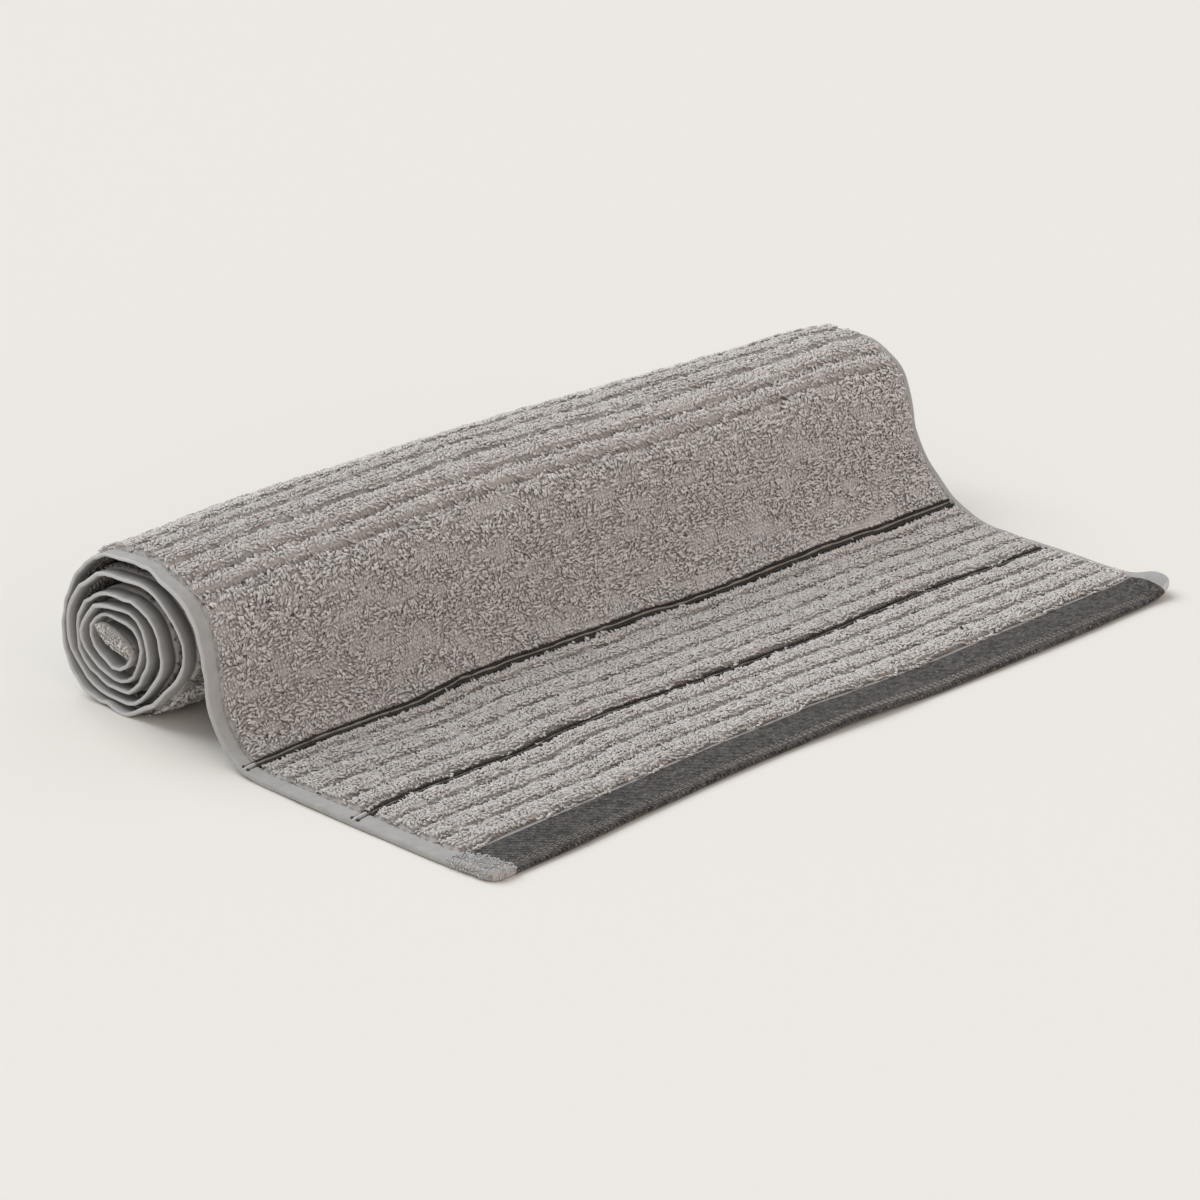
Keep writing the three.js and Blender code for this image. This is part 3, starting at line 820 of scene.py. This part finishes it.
def makeCloth():
    woven, across = np.meshgrid(clothRows(), clothColumns(), indexing="ij")
    fromSide = np.minimum(across, weave["width"] - across)
    fromEnd = np.minimum(woven, weave["length"] - woven)
    rounding = np.minimum(edgeRound(fromSide), edgeRound(fromEnd))
    ground = groundHeight(woven, across) + 0.12 * softNoise(woven / 2.4, across / 3.1)
    inHem = hemSides(across)
    nub = inNub(woven, across)
    seam = cloth["seamDepth"] * np.exp(-((inHem - 0.1) / 0.45) ** 2) * (1 - nub)
    thinner = 1 - cloth["woundThinner"] * smoothStep(woven, 190, 240)
    hem = (weave["hemFace"] + cloth["hemPuff"] * softNoise(woven / 11, across / 9)) * thinner
    toTerry = np.maximum(smoothStep(inHem, -0.3, 1.3), nub)
    toTerry = np.where(woven < weave["band"], np.maximum(smoothStep(inHem, -0.3, 0.1), nub), toTerry)
    face = (hem * (1 - toTerry) + ground * toTerry - seam) * rounding
    under = -weave["under"] * rounding * thinner * (1 + 0.04 * softNoise(woven / 9, across / 8))
    along = woven + wander(woven, across)
    upper = onCloth(along, across, face)
    lower = onCloth(along, across, under)
    count = woven.size
    numbers = np.arange(count).reshape(woven.shape)
    rim = np.zeros(woven.shape, bool)
    rim[0], rim[-1], rim[:, 0], rim[:, -1] = True, True, True, True
    lowerNumbers = numbers.copy()
    lowerNumbers[~rim] = count + np.arange((~rim).sum())
    points = np.vstack([upper.reshape(-1, 3), lower[~rim]])

    def cells(grid):
        return np.stack([grid[:-1, :-1], grid[:-1, 1:], grid[1:, 1:], grid[1:, :-1]], -1).reshape(-1, 4)

    faces = np.vstack([cells(numbers), cells(lowerNumbers)[:, ::-1]])
    distance = fromGroove(woven)[0]
    # bare ground near the grooves: it is hatched, and painted darker as shade in the grooves
    bareAndShade = 1 - smoothStep(distance, weave["ribFoot"], weave["ribCrown"] - 0.8)
    bareAndShade = bareAndShade * np.where(woven > weave["plainStart"], 0.4, 1.0)
    tip = cloth["tip"]
    atTip = smoothStep(across, weave["width"] - tip["across"], weave["width"] - 0.7 * tip["across"])
    turned = atTip * (1 - smoothStep(woven, 0.5 * tip["along"], tip["along"]))
    # painted highlight: the rims of the wound hems are painted paler
    rimHighlight = (1 - smoothStep(fromSide, 0.3, 1.2)) * smoothStep(woven, 120, 220)
    light = np.maximum(np.maximum(nub, turned), rimHighlight)
    spread = {"along": along, "across": across, "bareAndShade": bareAndShade, "light": light}
    values = {key: np.r_[data.ravel(), data[~rim]] for key, data in spread.items()}
    deep = smoothStep(fromSide, *cloth["shadeAcross"]) * (inHem < 0)  # painted shade: the hems are painted greyer between the turns, where little light reaches
    upperBareAndShade = np.where(inHem < 0, deep * smoothStep(woven, 380, 410), bareAndShade)
    lowerBareAndShade = np.where(inHem < 0, deep * smoothStep(woven, 190, 230), bareAndShade)
    values["bareAndShade"] = np.r_[upperBareAndShade.ravel(), lowerBareAndShade[~rim]]
    finish = [materials[name] for name in ("ground", "hem", "band", "stripe")]
    piece = newPiece("cloth", points, [faces], finish, values)
    midWoven = (woven[:-1, :-1] + woven[1:, 1:]) / 2
    midAcross = (across[:-1, :-1] + across[1:, 1:]) / 2
    kind = clothKinds(midWoven, midAcross).ravel().astype(np.int32)
    piece.data.polygons.foreach_set("material_index", np.r_[kind, kind])
    piece.data.update()
    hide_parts("towel")
    return piece


clothPiece = makeCloth()
print("cloth:", len(clothPiece.data.polygons), "faces")


# The pile: short loops of yarn in rows. Each is a small closed bead of yarn with one root in the ground and
# a blunt tip

pile = {
    "rowPitch": 1.56,
    "loopPitch": 0.97,
    "yarn": 0.64,  # radius
    "length": 2.0,
    "height": 0.62,
    "root": 0.5,
    "sway": 0.5,
    "turn": 13.0,
    "clump": (4.8, 3.5),  # across and along: loops lie together in clumps of about this size
    "clumpTurn": 62.0,
    "clumpSpread": 0.2,  # how far one clump is taller or shorter than the next
    "tilt": 0.5,
    "margin": 1.35,  # from a groove to the first row
    "rollMargin": 2.2,
    "ragged": 1.0,
    "bridge": 1.9,  # how far the loops reach over a groove where they close it
    "edgeDrop": 0.32,  # loops at the rim of a clump are lower
    # painted shade: loops at the rim of a clump are also painted darker
    "edgeShade": 0.25,
    "lump": 0.42,  # soft unevenness of the ground that the loops stand on
    "paintedLightDrift": (-0.1, 0.08),  # painted light: the yarn is painted a little darker at the left end and paler towards the right end
    "overhang": 0.8,
    "clear": 0.55,  # how far the loops stay back from a stripe
    "corner": (0.55, 40.0),  # the first rib is pressed flat at the left corner
    "pressed": 0.34,  # where the noise is above this the plain pile is pressed flat
    "holes": 300,
    "holeSize": 0.9,
    # painted shade spots along each of the roll's first grooves
    "grooveShadeSpots": 38,
    "seed": 11,
}
# Shares of a loop's length, height and sway: its root, two rings of yarn, and where its tip points
loopPath = {
    "run": np.array([-0.50, -0.16, 0.34, 0.62]),
    "rise": np.array([0.0, 0.95, 0.92, 0.35]),
    "sway": np.array([0.0, 1.0, 0.4, -0.8]),
    "taper": np.array([1.0, 0.9]),
    "corners": 3,
}


def loopTriangles(count):
    n = loopPath["corners"]
    ring = np.arange(n)
    ahead = (ring + 1) % n
    first, second = 1 + ring, 1 + n + ring
    sides = [
        np.stack([0 * ring, first, 1 + ahead], -1),
        np.stack([first, second, 1 + n + ahead], -1),
        np.stack([first, 1 + n + ahead, 1 + ahead], -1),
        second[None, ::-1],
    ]
    starts = np.arange(count)[:, None, None] * (2 * n + 1)
    return (starts + np.vstack(sides)[None]).reshape(-1, 3)


def makeLoops(name, woven, across, rng, size=1.0, tall=1.0, lean=0.0, turned=1.0, dropAndShade=1.0, light=0.0,
              base=None, place=None, finish="loops"):
    count = len(woven)
    corners = loopPath["corners"]
    inside, choice, extra = findClumps(woven, across)
    heading = np.where(choice < 0.5, 0, 180) + turned * (
        pile["clumpTurn"] * (2 * extra - 1) + rng.normal(0, pile["turn"], count))
    clump = (2 * choice - 1) * (1 - 2 * np.abs(extra - 0.5))
    length = pile["length"] * size * rng.uniform(0.78, 1.22, count)
    height = pile["height"] * tall * rng.uniform(0.88, 1.12, count) * (1 + pile["clumpSpread"] * 2 * clump)
    rim = 1 - smoothStep(inside, 0.1, 1.8)
    height = height * (1.1 - pile["edgeDrop"] * dropAndShade * rim)
    yarn = pile["yarn"] * size * rng.uniform(0.85, 1.15, count)
    run = loopPath["run"] * length[:, None]
    rise = -pile["root"] + loopPath["rise"] * (height + pile["root"])[:, None]
    side = loopPath["sway"] * (pile["sway"] * rng.uniform(-1, 1, count))[:, None]
    slopeRun = run[:, 2:] - run[:, :-2]
    slopeRise = rise[:, 2:] - rise[:, :-2]
    slope = np.hypot(slopeRun, slopeRise)
    angle = 2 * math.pi * (np.arange(corners) / corners + rng.uniform(0, 1, count)[:, None, None] / corners)
    thick = (yarn[:, None] * loopPath["taper"])[:, :, None]
    around = thick * np.cos(angle)
    over = thick * np.sin(angle)
    ringRun = run[:, 1:3, None] - over * (slopeRise / slope)[..., None]
    ringRise = rise[:, 1:3, None] + over * (slopeRun / slope)[..., None]
    ringSide = side[:, 1:3, None] + around + 0 * over

    def together(ends, rings):
        return np.concatenate([ends[:, :1], rings.reshape(count, -1)], 1)

    forward = together(run, ringRun)
    upward = together(rise, ringRise)
    sideways = together(side, ringSide)
    cosine = np.cos(np.radians(heading))[:, None]
    sine = np.sin(np.radians(heading))[:, None]
    leaning = np.broadcast_to(np.asarray(lean, float), (count,))[:, None]
    forward = forward + pile["tilt"] * np.maximum(upward, 0)
    placeAlong = woven[:, None] + forward * cosine - sideways * sine + leaning * np.maximum(upward, 0)
    placeAcross = across[:, None] + forward * sine + sideways * cosine
    if place is None:
        lump = pile["lump"] * softNoise(across / 4.3, 20 + woven / 3.1)
        ground = groundHeight(woven, across) + lump if base is None else base
        strayed = wander(woven, across)[:, None]
        points = onCloth(placeAlong + strayed, placeAcross, np.reshape(ground, (-1, 1)) + upward)
    else:
        points = place(placeAlong, placeAcross, upward)
    # painted shade: loops at a clump's rim are painted darker
    tint = 0.8 + light + 0.09 * rng.standard_normal(count) + 0.12 * clump - pile["edgeShade"] * dropAndShade * rim
    # painted light: darker towards the left end, paler towards the right
    tint = np.clip(tint + np.interp(across, (0, weave["width"]), pile["paintedLightDrift"]), 0, 1.1)
    values = {"tint": np.repeat(tint, 2 * corners + 1)}
    return newPiece(name, points, [loopTriangles(count)], [materials[finish]], values)


def findClumps(woven, across):  # how far inside its clump each loop is, and two chance values of that clump
    wide, deep = pile["clump"]
    column = np.floor(across / wide).astype(int)
    row = np.floor(woven / deep).astype(int)
    nearest = np.full(len(woven), 1e9)
    second = np.full(len(woven), 1e9)
    choice = np.zeros(len(woven))
    extra = np.zeros(len(woven))
    for i in (column - 1, column, column + 1):
        for j in (row - 1, row, row + 1):
            a, b = i % 256, j % 256
            centreAcross = (i + 0.1 + 0.8 * noiseTable[a, b]) * wide
            centreAlong = (j + 0.1 + 0.8 * noiseTable[b, a - 100]) * deep
            away = np.hypot(across - centreAcross, woven - centreAlong)
            closer = away < nearest
            second = np.where(closer, nearest, np.minimum(second, away))
            nearest = np.where(closer, away, nearest)
            choice = np.where(closer, noiseTable[a - 31, b - 77], choice)
            extra = np.where(closer, noiseTable[a - 149, b - 13], extra)
    return second - nearest, choice, extra


def scatter(rows, low, high, rng, pitch):  # places of the loops of several rows
    woven = []
    across = []
    for row in rows:
        count = int((high - low) / pitch)
        spot = low + (np.arange(count) + rng.random()) * (high - low) / count
        across.append(spot + rng.uniform(-0.35, 0.35, count) * pitch)
        woven.append(row + rng.normal(0, 0.24, count))
    return np.concatenate(woven), np.clip(np.concatenate(across), low, high)


def pileSides():  # where the pile starts and ends across the cloth
    return weave["leftHem"] + 0.3, weave["width"] - weave["rightHem"] - 1.1


def pileRows(start, end, pitch, margin):
    count = max(int(round((end - start - 2 * margin) / pitch)) + 1, 2)
    return np.linspace(start + margin, end - margin, count)


def ribPile(name, grooves, rng, pitch=1.0, light=0.0, dropAndShade=1.0):
    parts = []
    for start, end in zip(grooves[:-1], grooves[1:]):
        margin = pile["rollMargin" if start >= rollGrooves[0] else "margin"]
        rows = pileRows(start, end, pile["rowPitch"] * pitch, margin)
        woven, across = scatter(rows, *pileSides(), rng, pile["loopPitch"] * pitch)
        edge = (2 * woven - start - end) / (end - start - 2 * margin)
        side = np.where(edge < 0, start, end)
        disorder = 1 + 0.8 * np.exp(-across / 90)
        strayed = pile["ragged"] * disorder * softNoise(across / 6.5, side)
        strayed = strayed + 0.4 * softNoise(across / 2.2, 9 + side)
        closed = smoothStep(disorder * softNoise(across / 7.5, 3 * side + 40), 0.22, 0.75)
        strayed = strayed + pile["bridge"] * closed * (1.0 if start >= rollGrooves[0] else 0.75)
        strayed = strayed - pile["clear"] * np.isin(side, np.ravel(stripeZones))
        woven = woven + strayed * np.abs(edge) ** 2 * np.sign(edge)
        depth, reach = pile["corner"]
        flat = depth * np.exp(-across / reach) * (start == weave["nearGrooves"][0])
        parts.append(np.stack([woven, across, edge, 1 - flat]))
    woven, across, edge, tall = np.concatenate(parts, 1)
    lean = pile["overhang"] * np.sign(edge) * np.abs(edge) ** 3
    return makeLoops(name, woven, across, rng, size=pitch, tall=tall, lean=lean, dropAndShade=dropAndShade, light=light)


def findHoles(rng):
    low, high = pileSides()
    start, end = weave["plainStart"] + 3, rollGrooves[0] - 2
    plain = np.stack([rng.uniform(start, end, pile["holes"]), rng.uniform(low, high, pile["holes"])], -1)
    # painted shade spots along the first grooves of the roll
    count = pile["grooveShadeSpots"]
    grooves = np.repeat(rollGrooves[:6], count) + rng.uniform(-1.3, 1.3, 6 * count)
    return np.vstack([plain, np.stack([grooves, rng.uniform(low, high, 6 * count)], -1)])


def makeHoleShades(rng):  # painted shade: low cones of a dark tone on the ground, in the pile's holes and along the grooves, stand in for the deep shade there
    corners = 6
    woven, across = holePlaces.T
    count = len(woven)
    angle = 2 * math.pi * np.arange(corners) / corners
    size = rng.uniform(0.4, 0.95, (count, 1)) * rng.uniform(0.75, 1.2, (count, corners))
    slant = rng.uniform(-0.5, 0.5, (count, 1))
    alongRing = woven[:, None] + 0.75 * size * np.sin(angle)
    acrossRing = across[:, None] + 1.25 * size * np.cos(angle) + slant * size * np.sin(angle)
    placeAlong = np.c_[alongRing, woven]
    placeAcross = np.c_[acrossRing, across]
    height = groundHeight(woven, across)[:, None] + np.r_[np.full(corners, 0.05), 0.3]
    points = onCloth(placeAlong + wander(woven, across)[:, None], placeAcross, height)
    ring = np.arange(corners)
    starts = np.arange(count)[:, None] * (corners + 1)
    sides = np.stack([ring, (ring + 1) % corners, np.full(corners, corners)], -1)
    faceSets = [(starts[:, :, None] + sides[None]).reshape(-1, 3), starts + ring[None, ::-1]]
    return newPiece("pileGapShadeCones", points, faceSets, [materials["gapShade"]])


holePlaces = findHoles(np.random.default_rng(pile["seed"] + 2))


def plainPile(name, rng):
    low, high = pileSides()
    start, end = weave["plainStart"] + 0.9, rollGrooves[0] - 1.2
    rows = np.linspace(start, end, int((end - start) / pile["rowPitch"]) + 1)
    woven, across = scatter(rows, low, high, rng, pile["loopPitch"])
    away = np.full(len(woven), 99.0)
    for hole in holePlaces:
        away = np.minimum(away, np.hypot((woven - hole[0]) * 1.25, across - hole[1]))
    kept = away > pile["holeSize"]
    woven, across = woven[kept], across[kept]
    noise = softNoise(across / 12, 70 + woven / 4.0)
    pressed = smoothStep(noise, pile["pressed"] - 0.15, pile["pressed"] + 0.1)
    # painted light: the hanging pile is painted paler, as if more light fell on it; less so where pressed
    # flat
    return makeLoops(name, woven, across, rng, tall=2.3 - 1.8 * pressed, turned=1.4 * (1 - pressed),
                     dropAndShade=2.1 - 1.4 * pressed, light=0.09 - 0.17 * pressed)


def endPile(name, low, high, rng):  # what shows between the outer turns at an end of the roll
    pieces = []
    faces = (("Outer", 400, weave["innerFace"], 0, 1), ("Under", 205, -weave["under"], 1.5, -1))
    for side, start, base, inset, turned in faces:
        woven, across = scatter(np.arange(start, 640, 2.0), low - inset, high, rng, 1.5)
        pieces.append(makeEndLoops(name + side, woven, across, base, turned, rng))
    return pieces


def makeEndLoops(name, woven, across, base, turned, rng):
    def place(along, sideways, upward):
        return onCloth(along, sideways, base + turned * upward)

    # the loops between the turns take the darker yarn of painted shade
    return makeLoops(name, woven, across, rng, size=1.15, tall=0.7, place=place, finish="deep")


def nubPile(name, rng):  # fine loops on the thick terry corner, over its edges too
    nub = weave["nub"]
    bend = 2.3
    woven, across = scatter(np.arange(-1.2, nub["along"], 1.15), -1.8, nub["across"], rng, 0.85)
    inside = (inNub(woven, np.maximum(across, 0)) > 0.3) & (woven + across > -1.2)
    woven, across = woven[inside], across[inside]

    def place(along, sideways, upward):
        height = nub["face"] - 0.15 + upward
        out = []
        for spot in (along, sideways):
            angle = np.clip((bend - spot) / bend, 0, 2)
            out.append(np.where(angle > 0, bend - (bend + upward) * np.sin(angle), spot))
            height = height - (bend + upward) * (1 - np.cos(angle))
        return onCloth(out[0], out[1], np.maximum(height, 0.3 - weave["under"]))

    return makeLoops(name, woven, across, rng, size=0.78, tall=0.6, turned=1.6, place=place, finish="nub")


core = {  # the folded far end of the cloth, as it shows at the left end of the roll: a tuft of fine loops
    "from": 962.0,
    "half": (11.4, 3.5),
    "bulge": 1.6,
    "out": 0.9,  # before the end of the cloth
    "depth": 2.2,
    "rings": (0.0, 0.3, 0.55, 0.76, 0.92, 1.0),
    "corners": 28,
    "rowPitch": 1.35,
    "loopPitch": 1.0,
}


def coreMiddle():
    end = onCloth(np.linspace(core["from"], weave["length"], 60), np.full(60, 1.0), np.zeros(60)) / metre
    turn = np.radians(lie["core"]["lean"])
    back = end[:, 1] * np.cos(turn) - end[:, 2] * np.sin(turn)
    up = end[:, 2] * np.cos(turn) + end[:, 1] * np.sin(turn)
    middle = leaned((back.min() + back.max()) / 2, (up.min() + up.max()) / 2, lie["core"]["lean"])
    return np.array([end[:, 0].min() - core["out"], *middle])


def onCore(back, up, out):  # points in the frame, from places on the face of the folded end
    wide, tall = core["half"]
    fall = np.clip(1 - (back / wide) ** 2 - (up / tall) ** 2, 0, 1)
    spot = leaned(back, up, lie["core"]["lean"])
    x = coreFace[0] - core["bulge"] * np.sqrt(fall) - out
    return np.stack([x, coreFace[1] + spot[..., 0], coreFace[2] + spot[..., 1]], -1) * metre


coreFace = coreMiddle()


def corePile(rng):
    wide, tall = core["half"]
    ring = np.arange(core["corners"]) * 2 * math.pi / core["corners"]
    share = np.array(core["rings"][1:])[:, None]
    face = onCore(wide * share * np.cos(ring), tall * share * np.sin(ring), 0)
    centre = onCore(np.zeros(1), np.zeros(1), 0)
    back = face[-1] + np.array([core["depth"] * metre, 0, 0])
    points = np.vstack([centre, face.reshape(-1, 3), back])
    n = core["corners"]
    spot = np.arange(n)
    ahead = (spot + 1) % n
    tip = np.stack([0 * spot, 1 + spot, 1 + ahead], -1)
    quads = []
    for k in range(len(share)):
        inner, outer = 1 + k * n, 1 + (k + 1) * n
        quads.append(np.stack([inner + spot, outer + spot, outer + ahead, inner + ahead], -1))
    lid = (1 + len(share) * n + spot)[None, ::-1]
    values = {"along": points[:, 1] * 1000, "across": points[:, 2] * 1000, "bareAndShade": 0 * points[:, 0]}
    plug = newPiece("coreEnd", points, [tip, np.vstack(quads), lid], [materials["ground"]], values)
    rows = np.arange(-tall, tall + 0.1, core["rowPitch"])
    up, across = scatter(rows, -wide, wide, rng, core["loopPitch"])
    inside = (across / wide) ** 2 + (up / tall) ** 2 < 1.08
    loops = makeLoops("pileCore", up[inside], across[inside], rng, size=0.75, tall=1.2, turned=0.8,
                      light=0.1, place=lambda rise, sideways, upward: onCore(sideways, rise, upward))
    return [plug, loops]


def makePile():
    rng = np.random.default_rng(pile["seed"])
    pieces = [
        ribPile("pileNearRibs", weave["nearGrooves"], rng, dropAndShade=0.75),
        ribPile("pileMiddleRibs", weave["middleGrooves"], rng, dropAndShade=0.9),
        plainPile("pileHanging", rng),
        ribPile("pileTopRibs", rollGrooves[:5], rng),
        # painted light: the crown's loops are painted paler, as the crown faces up to the light
        ribPile("pileCrownRibs", rollGrooves[4:8], rng, light=0.18, dropAndShade=0.35),
        ribPile("pileBackRibs", rollGrooves[7:12], rng, 1.35),
        ribPile("pileUnderRibs", rollGrooves[11:], rng, 1.5),
        nubPile("pileCorner", rng),
        makeHoleShades(rng),
        *corePile(rng),
    ]
    low, high = pileSides()
    pieces += endPile("pileLeftEnd", low, low + 9, rng)
    pieces += endPile("pileRightEnd", high - 9, high, rng)
    return pieces


pilePieces = makePile()
for piece in pilePieces:
    print("pile:", piece.name, sum(len(face.vertices) - 2 for face in piece.data.polygons), "triangles")


# Stripe yarns and sewing thread: closed tubes that follow the cloth

def makeTubes(name, runs, sides, material):
    pointList = []
    quadList = []
    capList = []
    start = 0
    for woven, across, height, radius in runs:
        runWoven = np.gradient(woven)
        runAcross = np.gradient(across)
        length = np.hypot(runWoven, runAcross)
        angle = np.arange(sides) * 2 * math.pi / sides
        sideways = radius[:, None] * np.cos(angle)
        placeWoven = woven[:, None] + sideways * (runAcross / length)[:, None]
        placeAcross = across[:, None] - sideways * (runWoven / length)[:, None]
        placeHeight = height[:, None] + radius[:, None] * np.sin(angle)
        strayed = wander(woven, across)[:, None]
        pointList.append(onCloth(placeWoven + strayed, placeAcross, placeHeight).reshape(-1, 3))
        ring = np.arange(sides)
        ahead = (ring + 1) % sides
        for k in range(len(woven) - 1):
            a = start + k * sides
            quadList.append(np.stack([a + ring, a + sides + ring, a + sides + ahead, a + ahead], -1))
        end = start + (len(woven) - 1) * sides
        capList.append(start + ring)
        capList.append(end + ring[::-1])
        start += len(woven) * sides
    faceSets = [np.vstack(quadList), np.array(capList)]
    return newPiece(name, np.vstack(pointList), faceSets, [material])


stripes = {
    "lines": (  # across each stripe, from its near side: share of its width, radius and height of the yarn
        {"share": 0.24, "radius": 0.85, "height": 0.75, "kind": "dark"},
        {"share": 0.57, "radius": 0.5, "height": 1.25, "kind": "light"},
        {"share": 0.84, "radius": 0.65, "height": 0.85, "kind": "dark"},
    ),
    "sunk": (0.6, 0.3),  # the near stripe's light thread is thinner and lies deeper
    "step": 2.6,
    "waver": 0.4,
    "dash": (0.9, 2.5, 7.6),  # across the left hem: where the dark yarns show again, thick and then thin
    "dashRadius": (0.95, 0.3),
    "dashSpread": 1.5,
    "cord": (0.4, 8.2),  # between them a light cord crosses the hem
    "cordRadius": 0.85,
    "fuzzPitch": 0.95,
}


def stripeLines(kind):
    for start, end in stripeZones:
        for row in stripes["lines"]:
            if row["kind"] == kind:
                yield start + row["share"] * (end - start), row


def stripeMiddles():
    return [start + 0.55 * (end - start) for start, end in stripeZones]


def makeCords():
    runs = []
    for middle in stripeMiddles():
        across = np.linspace(*stripes["cord"], 9)
        radius = stripes["cordRadius"] * np.sin(np.linspace(0.5, 2.64, 9)) ** 0.6
        runs.append((middle + 0.05 * across, across, np.full(9, weave["hemFace"] + 0.1), radius))
    return makeTubes("hemCords", runs, 6, materials["cord"])


def makeStripes(kind, name, material):
    runs = []
    low, high = weave["leftHem"] - 0.4, weave["width"] - weave["rightHem"] + 0.4
    for line, row in stripeLines(kind):
        across = np.arange(low, high, stripes["step"])
        waver = stripes["waver"] * softNoise(across / 6, across * 0 + line)
        uneven = 0.22 if kind == "dark" else 0.8
        radius = row["radius"] * (1 + uneven * softNoise(across / 3.4, across * 0 + 5 + line))
        sunk = stripes["sunk"] if kind == "light" and line < weave["plainStart"] - 50 else (1.0, 0.0)
        height = np.full(len(across), row["height"] - sunk[1])
        runs.append((line + waver, across, height, radius * sunk[0]))
    if kind == "dark":
        for middle in stripeMiddles():
            for side in (-1, 1):
                start, turn, end = stripes["dash"]
                across = np.r_[np.linspace(start, turn, 5), np.linspace(turn + 0.8, end, 5)]
                thick, thin = stripes["dashRadius"]
                radius = np.r_[thick * np.sin(np.linspace(0.4, 2.7, 5)), np.full(5, thin)]
                woven = middle + side * stripes["dashSpread"] + 0.05 * (across - start)
                runs.append((woven, across, np.full(10, weave["hemFace"] - 0.05), radius))
    return makeTubes(name, runs, 5, material)


def makeStripeFuzz(rng):  # short dark loops that roughen the two dark yarns of each stripe
    low, high = pileSides()
    wovens = []
    acrosses = []
    for line, row in stripeLines("dark"):
        count = int((high - low) / stripes["fuzzPitch"])
        acrosses.append(np.linspace(low, high, count) + rng.uniform(-0.4, 0.4, count))
        wovens.append(line + rng.normal(0, 0.3, count) * row["radius"])
    woven, across = np.concatenate(wovens), np.concatenate(acrosses)
    return makeLoops("stripeFuzz", woven, across, rng, size=0.75, tall=0.7, base=1.1,
                     finish="stripe")


stitching = {
    "bandLines": (2.6, 3.7, 4.9),
    "bandStitch": 2.2,
    "bandGap": 0.7,
    "bandThread": 0.3,
    "bandShown": (235.0, 95.0),  # where the band's thread lies highest, and how far from there it does
    "hemInset": 0.9,
    "hemStitch": 2.3,
    "hemPitch": 4.0,
    "hemThread": 0.2,
}


def stitchRun(woven, across, radius, height):  # one stitch: it dips into the cloth at both ends
    bulge = np.sin(np.linspace(0, math.pi, len(woven))) ** 0.5
    return woven, across, height - 0.3 + 0.35 * bulge, radius * (0.55 + 0.45 * bulge)


def makeBandStitching():
    runs = []
    pitch = stitching["bandStitch"] + stitching["bandGap"]
    low, high = weave["nub"]["across"] + 2, weave["width"] - weave["rightHem"] - 3
    for line in stitching["bandLines"]:
        for start in np.arange(low, high, pitch):
            across = np.linspace(start, start + stitching["bandStitch"], 5)
            woven = line + 0.25 * softNoise(across / 11, across * 0 + line)
            middle, reach = stitching["bandShown"]
            shown = 0.5 + 0.5 * math.exp(-((start - middle) / reach) ** 2)
            runs.append(stitchRun(woven, across, stitching["bandThread"] * shown, weave["bandFace"] + 0.1))
    return makeTubes("bandStitching", runs, 4, materials["thread"])


def makeHemStitching():
    runs = []
    inset = stitching["hemInset"]
    for line in (weave["leftHem"] - inset, weave["width"] - weave["rightHem"] + inset):
        for start in np.arange(weave["nub"]["along"] + 3, rollGrooves[-1], stitching["hemPitch"]):
            woven = np.linspace(start, start + stitching["hemStitch"], 4)
            runs.append(stitchRun(woven, line + 0 * woven, stitching["hemThread"], weave["hemFace"] + 0.05))
    return makeTubes("hemStitching", runs, 4, materials["hemStitch"])


trimPieces = [
    makeStripes("dark", "stripeYarns", materials["stripe"]),
    makeStripes("light", "stripeThreads", materials["stripeThread"]),
    makeStripeFuzz(np.random.default_rng(pile["seed"] + 1)),
    makeCords(),
    makeBandStitching(),
    makeHemStitching(),
]
print("trim:", ", ".join(piece.name for piece in trimPieces))

total = sum(len(face.vertices) - 2 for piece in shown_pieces() for face in piece.data.polygons)
print("triangles in all:", total)
